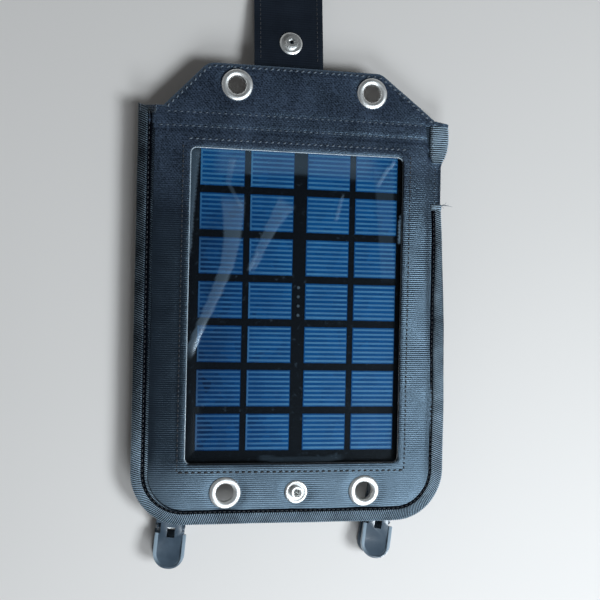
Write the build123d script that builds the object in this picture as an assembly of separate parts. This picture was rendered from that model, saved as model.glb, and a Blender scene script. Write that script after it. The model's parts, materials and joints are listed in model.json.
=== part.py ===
from build123d import *
import math
import os

# Hanging solar charger: a sewn pouch with a clear window over a rigid solar panel, four lashing
# eyelets, a folding hanger strap with snap fasteners, and two sprung plastic clips.
#
# Frame, in millimetres: the pouch lies face up. +Z points out of the window, +Y runs from the
# clips to the hanger strap, and X runs across the pouch. The origin is below the centre of the
# window, on the surface that the pouch's back rests on.

# ---- driving dimensions: pouch ----
HALF_WIDTH = 86.3  # centre line to side edge
BOTTOM_Y = -116.3  # bottom edge
SHOULDER_Y = 105.5  # where the straight sides end and the head begins
HEAD_TOP_Y = 129.0
HEAD_TOP_X = (-50.2, 45.5)  # the head's two top corners
HEAD_BASE_X = (-73.5, 77.0)  # where the head's slanting sides end
BOTTOM_RADIUS = 28.0
HEAD_RADIUS = 9.0
YOKE_Y = 92.7  # lower edge of the head piece

FABRIC = 0.8  # thickness of one fabric layer
FILM = 0.4  # clear window film
SEAM_Z = 12.0  # height of the seam between front and back
FRONT_TOP = SEAM_Z + FABRIC
RIM_Z = SEAM_Z - FABRIC  # underside of the back rim

WINDOW_HALF_X = 58.9
WINDOW_HALF_Y = 84.15
WINDOW_RADIUS = 2.5
FILM_OVERLAP = 3.4  # film sewn under the window's edge

# ---- edge binding ----
BINDING_WIDTH = 8.0
BINDING_WRAP = 0.6  # tape thickness outside the fabric
BINDING_EDGE = 0.75  # tape thickness beyond the fabric's edge
UPPER_BINDING_WIDTH = 10.4
MOUTH_LOW_Y = 58.5  # the binding stops here, below the cable mouth
MOUTH_HIGH_Y = 82.0

# ---- cable mouth in the right side ----
MOUTH_FLOOR = 5.2  # underside of the sagging back edge
MOUTH_FLAT = (65.0, 75.5)  # the level stretch of that edge
MOUTH_INNER_X = 67.6
HEM_X = 82.0  # hemmed edge of the front at the mouth

# ---- back pocket: a shallow tray of fabric ----
POCKET_FOOT = (-62.0, 62.0, -79.0, 84.0)  # low x, high x, low y, high y on the ground
POCKET_RIM = (-76.0, 76.0, -90.0, 97.0)  # the same where it meets the rim
POCKET_FOOT_RADIUS = 6.0
POCKET_RIM_RADIUS = 18.0
POCKET_WALL = 0.9

# ---- solar panel ----
PANEL_X = 1.8  # the panel sits slightly right of the window's centre and high in it
CELL_CENTRE_Y = 3.5
BOARD_CENTRE_Y = 2.5
BOARD_SIZE = (122.0, 174.0)
BOARD_Z = 8.5
BOARD_THICK = 2.0
CELL_ROWS = 7
CELL_SIZE = (23.8, 19.65)
CELL_THICK = 0.3
CELL_GAP = 3.3
CELL_CENTRE_GAP = 7.4
CELL_PITCH_Y = 23.6
RESIN_THICK = 0.9
RESIN_SIZE = (118.0, 171.0)
PAD_COUNT = 4
PAD_PITCH = 5.0
PAD_RADIUS = 0.8

# ---- electronics under the panel ----
BOX = (22.0, 60.0, 54.0, 81.0)  # junction box: low x, high x, low y, high y
BOX_Z = 0.95
BOX_WALL = 1.2
BOX_FLOOR = 0.75
LID_Z = 7.4
LID_THICK = 1.0
SOCKET_SIZE = (14.0, 13.2, 5.6)
SOCKET_Y = 68.0
SOCKET_SHELL = 0.4
CIRCUIT_Z = 3.8
CIRCUIT_THICK = 1.0
CIRCUIT = (24.0, 58.0, 56.0, 79.0)
CHOKE = (26.0, 33.0, 59.0, 66.0, 2.4)  # low x, high x, low y, high y, height
DIODE = (37.0, 41.5, 69.0, 71.6, 1.9)
CAPACITOR = (36.0, 42.0, 58.5, 62.0, 2.2)
LEAD_SPACING = 6.0
LEAD_POINT = (29.0, 75.5)

CUT_TOP = 20.0  # above everything, for cuts right through

# ---- eyelets and snaps ----
EYELET_BORE = 4.8
EYELET_BARREL = 5.4
EYELET_FLANGE = 8.4
EYELET_RISE = 1.3
WASHER_RADIUS = 7.9
TOP_EYELETS_Y = 118.0
BOTTOM_EYELETS_Y = -99.2
TOP_EYELETS_X = (-34.5, 40.0)
BOTTOM_EYELETS_X = (-36.4, 40.1)
SNAP_RADIUS = 6.25
SNAP_FLANGE = 1.0
SNAP_POST_RADIUS = 3.5
SNAP_POST_TOP = 3.4  # above the face that the stud sits on
SNAP_HOLE = 1.7
FRONT_SNAP = (2.2, -99.3)

# ---- hanger strap ----
STRAP_X = -6.0
STRAP_WIDTH = 38.0
STRAP_THICK = 1.6
STRAP_ROOT_Y = 98.5  # where the sewn end starts, behind the head
HEAD_FOLD = (130.6, 10.4)  # y and z of the fold at the head's edge
SNAP_GAP = 2.7  # between the strap's two faces when its snap is closed
FOLD_Y = 193.0  # the fold half way along
STRAP_END = 11.0  # strap beyond the socket
FOLD_ROOM = 1.0  # from each fold line to the solid strap
STRAP_SNAP_X = -5.0
STRAP_SNAP_FROM_FOLD = 50.2
SOCKET_RING = 1.6

# ---- clips ----
LEFT_CLIP = (-62.8, -107.0, -6.0)  # rivet x, rivet y, lean in degrees
RIGHT_CLIP = (52.8, -105.0, -10.0)
CLIP_WIDTH = 16.6
CLIP_TIP = 9.5  # jaw tip, from the rivet
CLIP_TAIL = -32.3  # tail end, from the rivet
CLIP_PIN_Y = -12.0
CLIP_PIN_Z = 4.2
CLIP_TOP = 8.4
PIN_RADIUS = 1.0
PIN_CLEARANCE = 0.06
RIVET_RADIUS = 1.55
RIVET_CLEARANCE = 0.06
TAB_WIDTH = 8.5
TAB_Z = 8.6
TAB_THICK = 1.0
TAB_TOP_Y = -91.5
CLIP_SLOT = (4.1, -16.6, -11.4)  # width, low y, high y


# ---- helpers ----
def prism_z(points, low, high):
    """A polygon in XY, extruded between two heights."""
    face = make_face(Polyline(*points, close=True))
    return Pos(0, 0, low) * extrude(face, high - low)


def prism_x(points, low, high):
    """A polygon given as (y, z) points, extruded between two x values."""
    face = Plane.YZ * make_face(Polyline(*points, close=True))
    return Pos(low, 0, 0) * extrude(face, high - low)


def block(x0, x1, y0, y1, z0, z1):
    """A box given by its limits."""
    centre = Pos((x0 + x1) / 2, (y0 + y1) / 2, (z0 + z1) / 2)
    return centre * Box(x1 - x0, y1 - y0, z1 - z0)


def rod_z(x, y, radius, low, high):
    """A round bar along Z."""
    return Pos(x, y, (low + high) / 2) * Cylinder(radius, high - low)


def rod_x(y, z, radius, low, high):
    """A round bar along X."""
    bar = Rot(0, 90, 0) * Cylinder(radius, high - low)
    return Pos((low + high) / 2, y, z) * bar


def revolved(points):
    """A profile of (radius, z) points turned about Z."""
    face = Plane.XZ * make_face(Polyline(*points, close=True))
    return revolve(face, Axis.Z)


def group(solids):
    """Several separate solids that share one node."""
    return Compound(children=list(solids))


def rounded_plate(half_x, half_y, radius, low, high, centre=(0, 0)):
    """A rectangle with rounded corners, extruded between two heights."""
    face = RectangleRounded(2 * half_x, 2 * half_y, radius)
    return Pos(centre[0], centre[1], low) * extrude(face, high - low)


# ---- pouch outlines ----
def body_face(inset, top_y):
    """The pouch below top_y, with its bottom corners rounded, moved in by inset."""
    half = HALF_WIDTH - inset
    low = BOTTOM_Y + inset
    points = [(-half, low), (half, low), (half, top_y), (-half, top_y)]
    face = make_face(Polyline(*points, close=True))
    corners = face.vertices().filter_by(lambda v: v.Y < low + 1)
    return fillet(corners, BOTTOM_RADIUS - inset)


def head_points(inset, low_y):
    """Corner points of the head piece above low_y."""
    half = HALF_WIDTH - inset
    return [
        (-half, low_y),
        (half, low_y),
        (half, SHOULDER_Y),
        (HEAD_BASE_X[1], SHOULDER_Y),
        (HEAD_TOP_X[1], HEAD_TOP_Y),
        (HEAD_TOP_X[0], HEAD_TOP_Y),
        (HEAD_BASE_X[0], SHOULDER_Y),
        (-half, SHOULDER_Y),
    ]


def head_face(inset, low_y):
    """The head piece with its two top corners rounded."""
    face = make_face(Polyline(*head_points(inset, low_y), close=True))
    corners = face.vertices().filter_by(lambda v: v.Y > HEAD_TOP_Y - 1)
    return fillet(corners, HEAD_RADIUS)


def holes(spots, radius, low=0.0, high=CUT_TOP):
    """Round holes through the fabric at the given spots."""
    return [rod_z(x, y, radius, low, high) for x, y in spots]


TOP_SPOTS = [(x, TOP_EYELETS_Y) for x in TOP_EYELETS_X]
BOTTOM_SPOTS = [(x, BOTTOM_EYELETS_Y) for x in BOTTOM_EYELETS_X]
SNAP_SHANK = SNAP_HOLE + 0.5


# ---- soft parts ----
def make_front_panel():
    panel = Pos(0, 0, SEAM_Z) * extrude(body_face(BINDING_EDGE, YOKE_Y), FABRIC)
    panel -= rounded_plate(WINDOW_HALF_X, WINDOW_HALF_Y, WINDOW_RADIUS, 0, CUT_TOP)
    panel -= block(HEM_X, 100, MOUTH_LOW_Y, MOUTH_HIGH_Y, 0, CUT_TOP)
    for hole in holes(BOTTOM_SPOTS, EYELET_BARREL) + holes([FRONT_SNAP], SNAP_SHANK):
        panel -= hole
    return panel


def make_head_yoke():
    yoke = Pos(0, 0, SEAM_Z) * extrude(head_face(BINDING_EDGE, YOKE_Y), FABRIC)
    for hole in holes(TOP_SPOTS, EYELET_BARREL):
        yoke -= hole
    return yoke


def mouth_line(rise):
    """The back edge's sag at the cable mouth, as (y, z) points."""
    low, high = MOUTH_FLAT
    start, end = MOUTH_LOW_Y + 0.5, MOUTH_HIGH_Y - 0.5
    return [
        (start, RIM_Z + rise),
        (low, MOUTH_FLOOR + rise),
        (high, MOUTH_FLOOR + rise),
        (end, RIM_Z + rise),
    ]


def make_back_rim():
    """The flat back, open where the pocket bulges out of it, with a sag at the mouth."""
    rim = Pos(0, 0, RIM_Z) * extrude(body_face(BINDING_EDGE, SHOULDER_Y - 1), FABRIC)
    rim += Pos(0, 0, RIM_Z) * extrude(head_face(BINDING_EDGE, YOKE_Y), FABRIC)
    x0, x1, y0, y1 = POCKET_RIM
    half_x, half_y = (x1 - x0) / 2 - 1, (y1 - y0) / 2 - 1
    centre = ((x0 + x1) / 2, (y0 + y1) / 2)
    rim -= rounded_plate(half_x, half_y, POCKET_RIM_RADIUS - 1, 0, CUT_TOP, centre)
    rim -= block(MOUTH_INNER_X, 100, MOUTH_LOW_Y + 0.5, MOUTH_HIGH_Y - 0.5, 0, CUT_TOP)
    sag = mouth_line(0) + mouth_line(FABRIC)[::-1]
    rim += prism_x(sag, MOUTH_INNER_X, HALF_WIDTH - BINDING_EDGE)
    spots = TOP_SPOTS + BOTTOM_SPOTS
    for hole in holes(spots, EYELET_BARREL) + holes([FRONT_SNAP], SNAP_SHANK):
        rim -= hole
    return rim


def pocket_loft(inset, floor):
    """The pocket's form, narrower at the ground than at the rim."""
    faces = []
    levels = [
        (POCKET_FOOT, POCKET_FOOT_RADIUS, floor),
        (POCKET_RIM, POCKET_RIM_RADIUS, RIM_Z),
    ]
    for (x0, x1, y0, y1), radius, z in levels:
        width, length = x1 - x0 - 2 * inset, y1 - y0 - 2 * inset
        centre = Pos((x0 + x1) / 2, (y0 + y1) / 2, z)
        faces.append(centre * RectangleRounded(width, length, radius - inset))
    return loft(faces)


def make_back_pocket():
    pocket = pocket_loft(0, 0) - pocket_loft(POCKET_WALL, POCKET_WALL)
    above_sag = mouth_line(0)
    above_sag += [(MOUTH_HIGH_Y - 0.5, CUT_TOP), (MOUTH_LOW_Y + 0.5, CUT_TOP)]
    return pocket - prism_x(above_sag, 61, 100)


def make_window_film():
    half_x, half_y = WINDOW_HALF_X + FILM_OVERLAP, WINDOW_HALF_Y + FILM_OVERLAP
    return rounded_plate(half_x, half_y, WINDOW_RADIUS, SEAM_Z - FILM, SEAM_Z)


def binding_channel(face_outer, face_inner, face_slot):
    """Tape folded over an edge: a band with a slot for the fabric."""
    low, high = RIM_Z - BINDING_WRAP, FRONT_TOP + BINDING_WRAP
    band = Pos(0, 0, low) * extrude(face_outer, high - low)
    band -= Pos(0, 0, low) * extrude(face_inner, high - low)
    slot = Pos(0, 0, RIM_Z) * extrude(face_slot, FRONT_TOP - RIM_Z)
    return band - slot


def make_edge_binding():
    """Tape down the left side, along the bottom and up the right side to the mouth."""
    outer = body_face(0, SHOULDER_Y)
    inner = body_face(BINDING_WIDTH, SHOULDER_Y)
    slot = body_face(BINDING_EDGE, SHOULDER_Y)
    binding = binding_channel(outer, inner, slot)
    return binding - block(0, 100, MOUTH_LOW_Y, 200, 0, CUT_TOP)


def make_upper_binding():
    """The short wide piece of tape above the cable mouth."""
    outer = body_face(0, SHOULDER_Y)
    inner = body_face(UPPER_BINDING_WIDTH, SHOULDER_Y)
    slot = body_face(BINDING_EDGE, SHOULDER_Y)
    binding = binding_channel(outer, inner, slot)
    binding -= block(-100, 100, -200, MOUTH_HIGH_Y, 0, CUT_TOP)
    return binding - block(-100, 0, 0, 200, 0, CUT_TOP)


def make_foam_pad():
    """Foam that fills the pocket under the panel, cut away around the junction box."""
    x0, x1, y0, y1 = POCKET_FOOT
    pad = block(x0 + 4, x1 - 4, y0 + 4, y1 - 4, POCKET_WALL + 0.05, BOARD_Z)
    return pad - block(BOX[0] - 0.5, 100, BOX[2] - 0.5, BOX[3] + 10, 0, CUT_TOP)


# ---- solar panel ----
def cell_columns():
    """X of the four cell centres."""
    inner = (CELL_CENTRE_GAP + CELL_SIZE[0]) / 2
    outer = inner + CELL_SIZE[0] + CELL_GAP
    return [PANEL_X + x for x in (-outer, -inner, inner, outer)]


def cell_row_y(row):
    """Y of a row of cells; row 0 is nearest the strap."""
    return CELL_CENTRE_Y + CELL_PITCH_Y * ((CELL_ROWS - 1) / 2 - row)


CELL_Z = BOARD_Z + BOARD_THICK


def make_cell_row(row):
    width, height = CELL_SIZE
    y = cell_row_y(row)
    cells = []
    for x in cell_columns():
        limits = (x - width / 2, x + width / 2, y - height / 2, y + height / 2)
        cells.append(block(*limits, CELL_Z, CELL_Z + CELL_THICK))
    return group(cells)


def pad_spots():
    """The test pads in the middle gap between the cells."""
    first = CELL_CENTRE_Y - PAD_PITCH * (PAD_COUNT - 1) / 2
    return [(PANEL_X, first + PAD_PITCH * i) for i in range(PAD_COUNT)]


def make_test_pads():
    return group(rod_z(x, y, PAD_RADIUS, CELL_Z, CELL_Z + 0.35) for x, y in pad_spots())


def lead_spots():
    x, y = LEAD_POINT
    return [(x, y), (x + LEAD_SPACING, y)]


def make_panel_board():
    half_x, half_y = BOARD_SIZE[0] / 2, BOARD_SIZE[1] / 2
    centre = (PANEL_X, BOARD_CENTRE_Y)
    board = rounded_plate(half_x, half_y, 2.0, BOARD_Z, CELL_Z, centre)
    for x, y in lead_spots():
        board -= rod_z(x, y, 0.7, BOARD_Z - 1, BOARD_Z + 1)
    return board


def make_panel_resin(rows):
    """Clear resin poured over the cells and pads."""
    half_x, half_y = RESIN_SIZE[0] / 2, RESIN_SIZE[1] / 2
    centre = (PANEL_X, BOARD_CENTRE_Y)
    resin = rounded_plate(half_x, half_y, 1.5, CELL_Z, CELL_Z + RESIN_THICK, centre)
    for row in rows:
        for cell in row.solids():
            resin -= cell
    for pad in make_test_pads().solids():
        resin -= pad
    return resin


# ---- electronics ----
def socket_limits(margin):
    """The output socket's limits in X, Y and Z, grown by margin."""
    length, width, height = SOCKET_SIZE
    x1 = BOX[1] - 0.2
    z0 = BOX_Z + BOX_FLOOR + 0.05
    return (
        x1 - length - margin,
        x1 + margin,
        SOCKET_Y - width / 2 - margin,
        SOCKET_Y + width / 2 + margin,
        z0 - margin,
        z0 + height + margin,
    )


def make_junction_box():
    base = block(*BOX, BOX_Z, LID_Z)
    x0, x1, y0, y1 = BOX
    inner = (x0 + BOX_WALL, x1 - BOX_WALL, y0 + BOX_WALL, y1 - BOX_WALL)
    base -= block(*inner, BOX_Z + BOX_FLOOR, LID_Z)
    gap = list(socket_limits(0.05))
    gap[1] = x1 + 1
    gap[4] = BOX_Z + BOX_FLOOR
    return base - block(*gap)


def make_box_lid():
    x0, x1, y0, y1 = BOX
    lid = block(x0, x1, y0, y1, LID_Z, LID_Z + LID_THICK)
    for x, y in lead_spots():
        lid -= rod_z(x, y, 0.7, 0, CUT_TOP)
    return lid


def make_circuit_board():
    board = block(*CIRCUIT, CIRCUIT_Z, CIRCUIT_Z + CIRCUIT_THICK)
    gap = list(socket_limits(0.1))
    gap[1] = 100
    board -= block(*gap)
    for x, y in lead_spots():
        board -= rod_z(x, y, 0.5, 0, CUT_TOP)
    return board


def make_output_socket():
    """A flat charging socket: a metal shell with a tongue inside, its mouth towards +X."""
    x0, x1, y0, y1, z0, z1 = socket_limits(0)
    shell = block(x0, x1, y0, y1, z0, z1)
    wall = SOCKET_SHELL
    shell -= block(x0 + 2, x1 + 1, y0 + wall, y1 - wall, z0 + wall, z1 - wall)
    middle = (z0 + z1) / 2
    return shell + block(x0 + 1, x1 - 1.5, y0 + 1.2, y1 - 1.2, middle - 0.3, middle + 1.5)


def make_panel_leads():
    return group(rod_z(x, y, 0.45, CIRCUIT_Z, BOARD_Z + 0.9) for x, y in lead_spots())


def on_circuit(component):
    """A component that stands on the circuit board."""
    x0, x1, y0, y1, height = component
    top = CIRCUIT_Z + CIRCUIT_THICK
    return block(x0, x1, y0, y1, top, top + height)


# ---- eyelets and snaps ----
def eyelet():
    """A rolled eyelet with its flange on the front face and its barrel through the fabric."""
    top = FRONT_TOP + EYELET_RISE
    points = [
        (EYELET_BORE, RIM_Z - 1.0),
        (EYELET_BARREL, RIM_Z - 1.0),
        (EYELET_BARREL, FRONT_TOP),
        (EYELET_FLANGE, FRONT_TOP),
        (EYELET_FLANGE - 0.3, FRONT_TOP + 0.6),
        (EYELET_FLANGE - 1.2, top - 0.15),
        (EYELET_BORE + 1.6, top),
        (EYELET_BORE + 0.6, top - 0.1),
        (EYELET_BORE, top - 0.7),
    ]
    return revolved(points)


def washer():
    """The ring behind the fabric that the barrel is rolled over."""
    points = [
        (EYELET_BARREL, RIM_Z - 0.8),
        (WASHER_RADIUS, RIM_Z - 0.6),
        (WASHER_RADIUS, RIM_Z),
        (EYELET_BARREL, RIM_Z),
    ]
    return revolved(points)


def at_spots(shape, spots):
    return group(Pos(x, y, 0) * shape for x, y in spots)


def snap_stud():
    """The male half of a snap: flange, post with a waist, and a hollow rivet. Face at z = 0."""
    post = SNAP_POST_RADIUS
    points = [
        (SNAP_HOLE, 0),
        (SNAP_RADIUS, 0),
        (SNAP_RADIUS, 0.5),
        (SNAP_RADIUS - 0.8, SNAP_FLANGE),
        (post - 0.3, SNAP_FLANGE),
        (post - 0.3, SNAP_FLANGE + 0.7),
        (post, SNAP_POST_TOP - 0.9),
        (post - 0.5, SNAP_POST_TOP),
        (SNAP_HOLE, SNAP_POST_TOP),
    ]
    return revolved(points)


def snap_post(thickness):
    """The rivet behind a stud, through fabric of the given thickness below z = 0."""
    points = [
        (0, -thickness - 0.8),
        (4.6, -thickness - 0.6),
        (5.0, -thickness),
        (SNAP_SHANK, -thickness),
        (SNAP_SHANK, 0),
        (SNAP_HOLE, 0),
        (SNAP_HOLE, SNAP_POST_TOP - 1.8),
        (SNAP_HOLE - 0.4, SNAP_POST_TOP - 1.8),
        (SNAP_HOLE - 0.4, -thickness + 0.2),
        (0, -thickness + 0.2),
    ]
    return revolved(points)


# ---- hanger strap ----
FACE_DROP = SNAP_GAP / 2  # from the fold line half way along to each face
CORE_DROP = FACE_DROP + STRAP_THICK / 2
FOLD_Z = STRAP_THICK + FACE_DROP


def lower_strap_run():
    """Length from the middle fold to the head's fold, along the strap, and its slope."""
    across = FOLD_Y - HEAD_FOLD[0]
    rise = HEAD_FOLD[1] - FOLD_Z
    reach = math.hypot(across, rise)
    run = math.sqrt(reach**2 - CORE_DROP**2)
    slope = math.atan2(rise, across) + math.atan2(CORE_DROP, run)
    return run, math.degrees(slope)


LOWER_RUN, STRAP_SLOPE = lower_strap_run()


def on_slope(shape):
    """From a level frame at the middle fold to the sloping lower strap."""
    return Pos(0, FOLD_Y, FOLD_Z) * Rot(-STRAP_SLOPE, 0, 0) * shape


def strap_piece(y0, y1, top):
    """A run of strap whose front face is at height top."""
    low = STRAP_X - STRAP_WIDTH / 2
    return block(low, low + STRAP_WIDTH, y0, y1, top - STRAP_THICK, top)


def make_strap_root():
    end = HEAD_FOLD[0] - 0.3
    return strap_piece(STRAP_ROOT_Y, end, RIM_Z)


def make_strap_lower():
    strap = strap_piece(-LOWER_RUN + FOLD_ROOM, -FOLD_ROOM, -FACE_DROP)
    strap -= rod_z(STRAP_SNAP_X, -STRAP_SNAP_FROM_FOLD, SNAP_SHANK, -10, 10)
    return on_slope(strap)


def make_strap_stud():
    place = Pos(STRAP_SNAP_X, -STRAP_SNAP_FROM_FOLD, -FACE_DROP)
    return on_slope(place * snap_stud())


def make_strap_stud_post():
    place = Pos(STRAP_SNAP_X, -STRAP_SNAP_FROM_FOLD, -FACE_DROP)
    return on_slope(place * snap_post(STRAP_THICK))


SOCKET_CAVITY = SNAP_POST_RADIUS + 0.35
END_SPOT = (STRAP_SNAP_X, FOLD_Y + STRAP_SNAP_FROM_FOLD)


def make_strap_tip():
    end = END_SPOT[1] + STRAP_END
    strap = strap_piece(FOLD_Y + FOLD_ROOM, end, STRAP_THICK)
    return strap - rod_z(*END_SPOT, SOCKET_CAVITY + 0.5, -10, 10)


def make_strap_socket():
    """The female half of the strap's snap, on its front face."""
    x, y = END_SPOT
    low = 0.4  # the hidden sleeve stops short of the cap
    points = [
        (SOCKET_CAVITY, low),
        (SOCKET_CAVITY + 0.5, low),
        (SOCKET_CAVITY + 0.5, STRAP_THICK),
        (SNAP_RADIUS, STRAP_THICK),
        (SNAP_RADIUS, STRAP_THICK + 0.7),
        (SNAP_RADIUS - 0.8, STRAP_THICK + SOCKET_RING),
        (SOCKET_CAVITY, STRAP_THICK + SOCKET_RING),
    ]
    return Pos(x, y, 0) * revolved(points)


def make_strap_cap():
    """The plain cap that closes the socket's hole, set into the back of the strap."""
    x, y = END_SPOT
    return Pos(x, y, 0) * Pos(0, 0, 0.2) * Cylinder(SOCKET_CAVITY + 0.5, 0.4)


# ---- clips, drawn with the rivet on the Z axis and the tail towards -Y ----
TAIL_END_Z = 12.6
RISE_START_Y = -13.0
TAIL_SLOPE = (TAIL_END_Z - CLIP_TOP) / (RISE_START_Y - CLIP_TAIL)
UNDER_START_Y = -13.5
UNDER_Z = 6.2
NECK_HALF = 5.65
NECK_Y = (-14.6, -9.3)
RIM_WIDTH = 1.8
RECESS_DEPTH = 1.0


def clip_outline(width, tip_radius):
    """Plan form of a clip half: square at the jaw and round at the tail."""
    low, high = CLIP_TAIL, CLIP_TIP
    half = width / 2
    points = [(-half, low), (half, low), (half, high), (-half, high)]
    face = make_face(Polyline(*points, close=True))
    tail = face.vertices().filter_by(lambda v: v.Y < 0)
    face = fillet(tail, half - 0.4)
    jaw = face.vertices().filter_by(lambda v: v.Y > CLIP_TIP - 0.1)
    face = fillet(jaw, tip_radius)
    return Pos(0, 0, -1) * extrude(face, CUT_TOP)


def jaw_teeth(low_z, side):
    """Small ridges across the tip of one jaw, side 1 for the upper and -1 for the lower."""
    half = CLIP_WIDTH / 2 - 1.2
    teeth = []
    for i in range(3):
        y = 4.1 + 2.0 * i - 0.5 * side
        points = [(y - 0.4, low_z), (y + 0.4, low_z), (y, low_z - 0.3 * side)]
        teeth.append(prism_x(points, -half, half))
    return teeth


def upper_half_body():
    """The half towards the pouch: jaw, hollow and rising tail."""
    tail_under = UNDER_Z + (UNDER_START_Y - CLIP_TAIL) * TAIL_SLOPE
    points = [
        (CLIP_TIP, 4.5),
        (CLIP_TIP, 7.0),
        (CLIP_TIP - 1.6, CLIP_TOP),
        (RISE_START_Y, CLIP_TOP),
        (CLIP_TAIL, TAIL_END_Z),
        (CLIP_TAIL, tail_under),
        (UNDER_START_Y, UNDER_Z),
        (-9.0, UNDER_Z),
        (-6.0, 5.6),
        (2.6, 5.6),
        (2.6, 4.5),
    ]
    half = CLIP_WIDTH / 2
    return prism_x(points, -half, half) & clip_outline(CLIP_WIDTH, 2.0)


def tail_surface(y, depth):
    """Height of the tail's upper face, less a depth."""
    return CLIP_TOP + (RISE_START_Y - y) * TAIL_SLOPE - depth


def tail_recess():
    """The thumb hollow in the top of the tail: level with the neck, between two side rims."""
    deep_y, low = -23.0, CLIP_TAIL + 1.2
    points = [
        (RISE_START_Y, CLIP_TOP),
        (deep_y, tail_surface(deep_y, RECESS_DEPTH)),
        (low, tail_surface(low, 0.3)),
        (low, CUT_TOP),
        (RISE_START_Y, CUT_TOP),
    ]
    half = CLIP_WIDTH / 2 - RIM_WIDTH
    form = prism_x(points, -half, half)
    corners = form.edges().filter_by(Axis.Z).sort_by(Axis.Y)[:2]
    return fillet(corners, half - 1.2)


def neck_notches():
    """The two cut-aways beside the neck, where the lower half's lugs stand."""
    low, high = NECK_Y
    reach = CLIP_WIDTH
    left = block(-reach, -NECK_HALF, low, high, 0, CUT_TOP)
    return [left, block(NECK_HALF, reach, low, high, 0, CUT_TOP)]


def ears(inner, outer, radius, z0, z1):
    """A pair of lugs around the pin."""
    lugs = []
    for side in (-1, 1):
        x0, x1 = sorted((side * inner, side * outer))
        lug = rod_x(CLIP_PIN_Y, CLIP_PIN_Z, radius, x0, x1)
        lug += block(x0, x1, CLIP_PIN_Y - radius, CLIP_PIN_Y + radius, z0, z1)
        lugs.append(lug)
    return lugs


UPPER_EARS = (4.2, 5.55)  # x of the upper half's lugs, which are its neck's sides
LOWER_EARS = (5.9, 7.4)  # x of the lower half's lugs, outside the neck
UPPER_EAR_RADIUS = 3.0
LOWER_EAR_RADIUS = 2.3
EAR_ROOM = 3.3
COIL_RADIUS = 2.85
COIL_X = (2.15, 3.9)  # each of the two coils
WIRE = 0.8


def make_clip_lever():
    lever = upper_half_body() - tail_recess()
    slot_width, slot_low, slot_high = CLIP_SLOT
    lever -= block(-slot_width / 2, slot_width / 2, slot_low, slot_high, 0, CUT_TOP)
    lever -= rod_x(CLIP_PIN_Y, CLIP_PIN_Z, EAR_ROOM, -UPPER_EARS[0], UPPER_EARS[0])
    for lug in ears(*UPPER_EARS, UPPER_EAR_RADIUS, CLIP_PIN_Z, 8.0):
        lever += lug
    for notch in neck_notches():
        lever -= notch
    lever -= rod_x(CLIP_PIN_Y, CLIP_PIN_Z, PIN_RADIUS, -CLIP_WIDTH, CLIP_WIDTH)
    lever -= rod_z(0, 0, RIVET_RADIUS + RIVET_CLEARANCE, 0, CUT_TOP)
    for tooth in jaw_teeth(4.5, 1):
        lever += tooth
    return lever


def make_clip_jaw():
    points = [
        (CLIP_TIP, 3.9),
        (CLIP_TIP, 1.8),
        (CLIP_TIP - 1.6, 0.4),
        (-10.0, 0.4),
        (-13.0, 0.0),
        (CLIP_TAIL + 1.0, 0.0),
        (CLIP_TAIL + 0.3, 0.6),
        (CLIP_TAIL + 0.3, 2.2),
        (-14.5, 2.4),
        (2.6, 2.6),
        (2.6, 3.9),
    ]
    half = CLIP_WIDTH / 2
    jaw = prism_x(points, -half, half) & clip_outline(CLIP_WIDTH - 0.6, 2.0)
    room = (UPPER_EARS[1] + LOWER_EARS[0]) / 2
    jaw -= rod_x(CLIP_PIN_Y, CLIP_PIN_Z, EAR_ROOM, -room, room)
    for lug in ears(*LOWER_EARS, LOWER_EAR_RADIUS, 1.5, CLIP_PIN_Z):
        jaw += lug
    jaw -= rod_x(CLIP_PIN_Y, CLIP_PIN_Z, PIN_RADIUS + PIN_CLEARANCE, -CLIP_WIDTH, CLIP_WIDTH)
    for tooth in jaw_teeth(3.9, -1):
        jaw += tooth
    return jaw


def make_clip_pin():
    half = LOWER_EARS[1] + 0.5
    return rod_x(CLIP_PIN_Y, CLIP_PIN_Z, PIN_RADIUS, -half, half)


def make_clip_spring():
    """A double torsion spring: two coils as tubes, the loop that joins them and two legs."""
    upper_leg = [(-14.2, 4.6), (-21.0, 6.5), (-21.0, 7.3), (-14.2, 5.4)]
    lower_leg = [(-14.2, 2.9), (-21.0, 2.6), (-21.0, 3.4), (-14.2, 3.7)]
    inner, outer = COIL_X
    spring = block(-inner - WIRE / 2, inner + WIRE / 2, -21.0, -20.2, 6.5, 7.0)
    for side in (-1, 1):
        ends = sorted((side * inner, side * outer))
        coil = rod_x(CLIP_PIN_Y, CLIP_PIN_Z, COIL_RADIUS, *ends)
        coil -= rod_x(CLIP_PIN_Y, CLIP_PIN_Z, COIL_RADIUS - WIRE, *ends)
        coil += prism_x(upper_leg, *sorted((side * inner, side * (inner + WIRE))))
        coil += prism_x(lower_leg, *sorted((side * (outer - WIRE), side * outer)))
        spring += coil
    return spring


def make_clip_rivet():
    top = TAB_Z + TAB_THICK
    rivet = rod_z(0, 0, RIVET_RADIUS, 5.0, top + 0.4)
    rivet += rod_z(0, 0, 2.4, 4.85, 5.5)
    return rivet + rod_z(0, 0, 3.3, top, top + 0.6)


def make_clip_tab(rivet_x, rivet_y):
    """Webbing tab, sewn under the back rim and dropping to the rivet."""
    low_y = rivet_y - 4.6
    bend = rivet_y + 4.2
    top_start = rivet_y + 6.6
    lift = RIM_Z - TAB_THICK - TAB_Z
    line = [
        (low_y, TAB_Z),
        (bend, TAB_Z),
        (top_start, TAB_Z + lift),
        (TAB_TOP_Y, TAB_Z + lift),
    ]
    points = line + [(y, z + TAB_THICK) for y, z in reversed(line)]
    half = TAB_WIDTH / 2
    tab = prism_x(points, rivet_x - half, rivet_x + half)
    return tab - rod_z(rivet_x, rivet_y, RIVET_RADIUS, 0, CUT_TOP)


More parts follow.
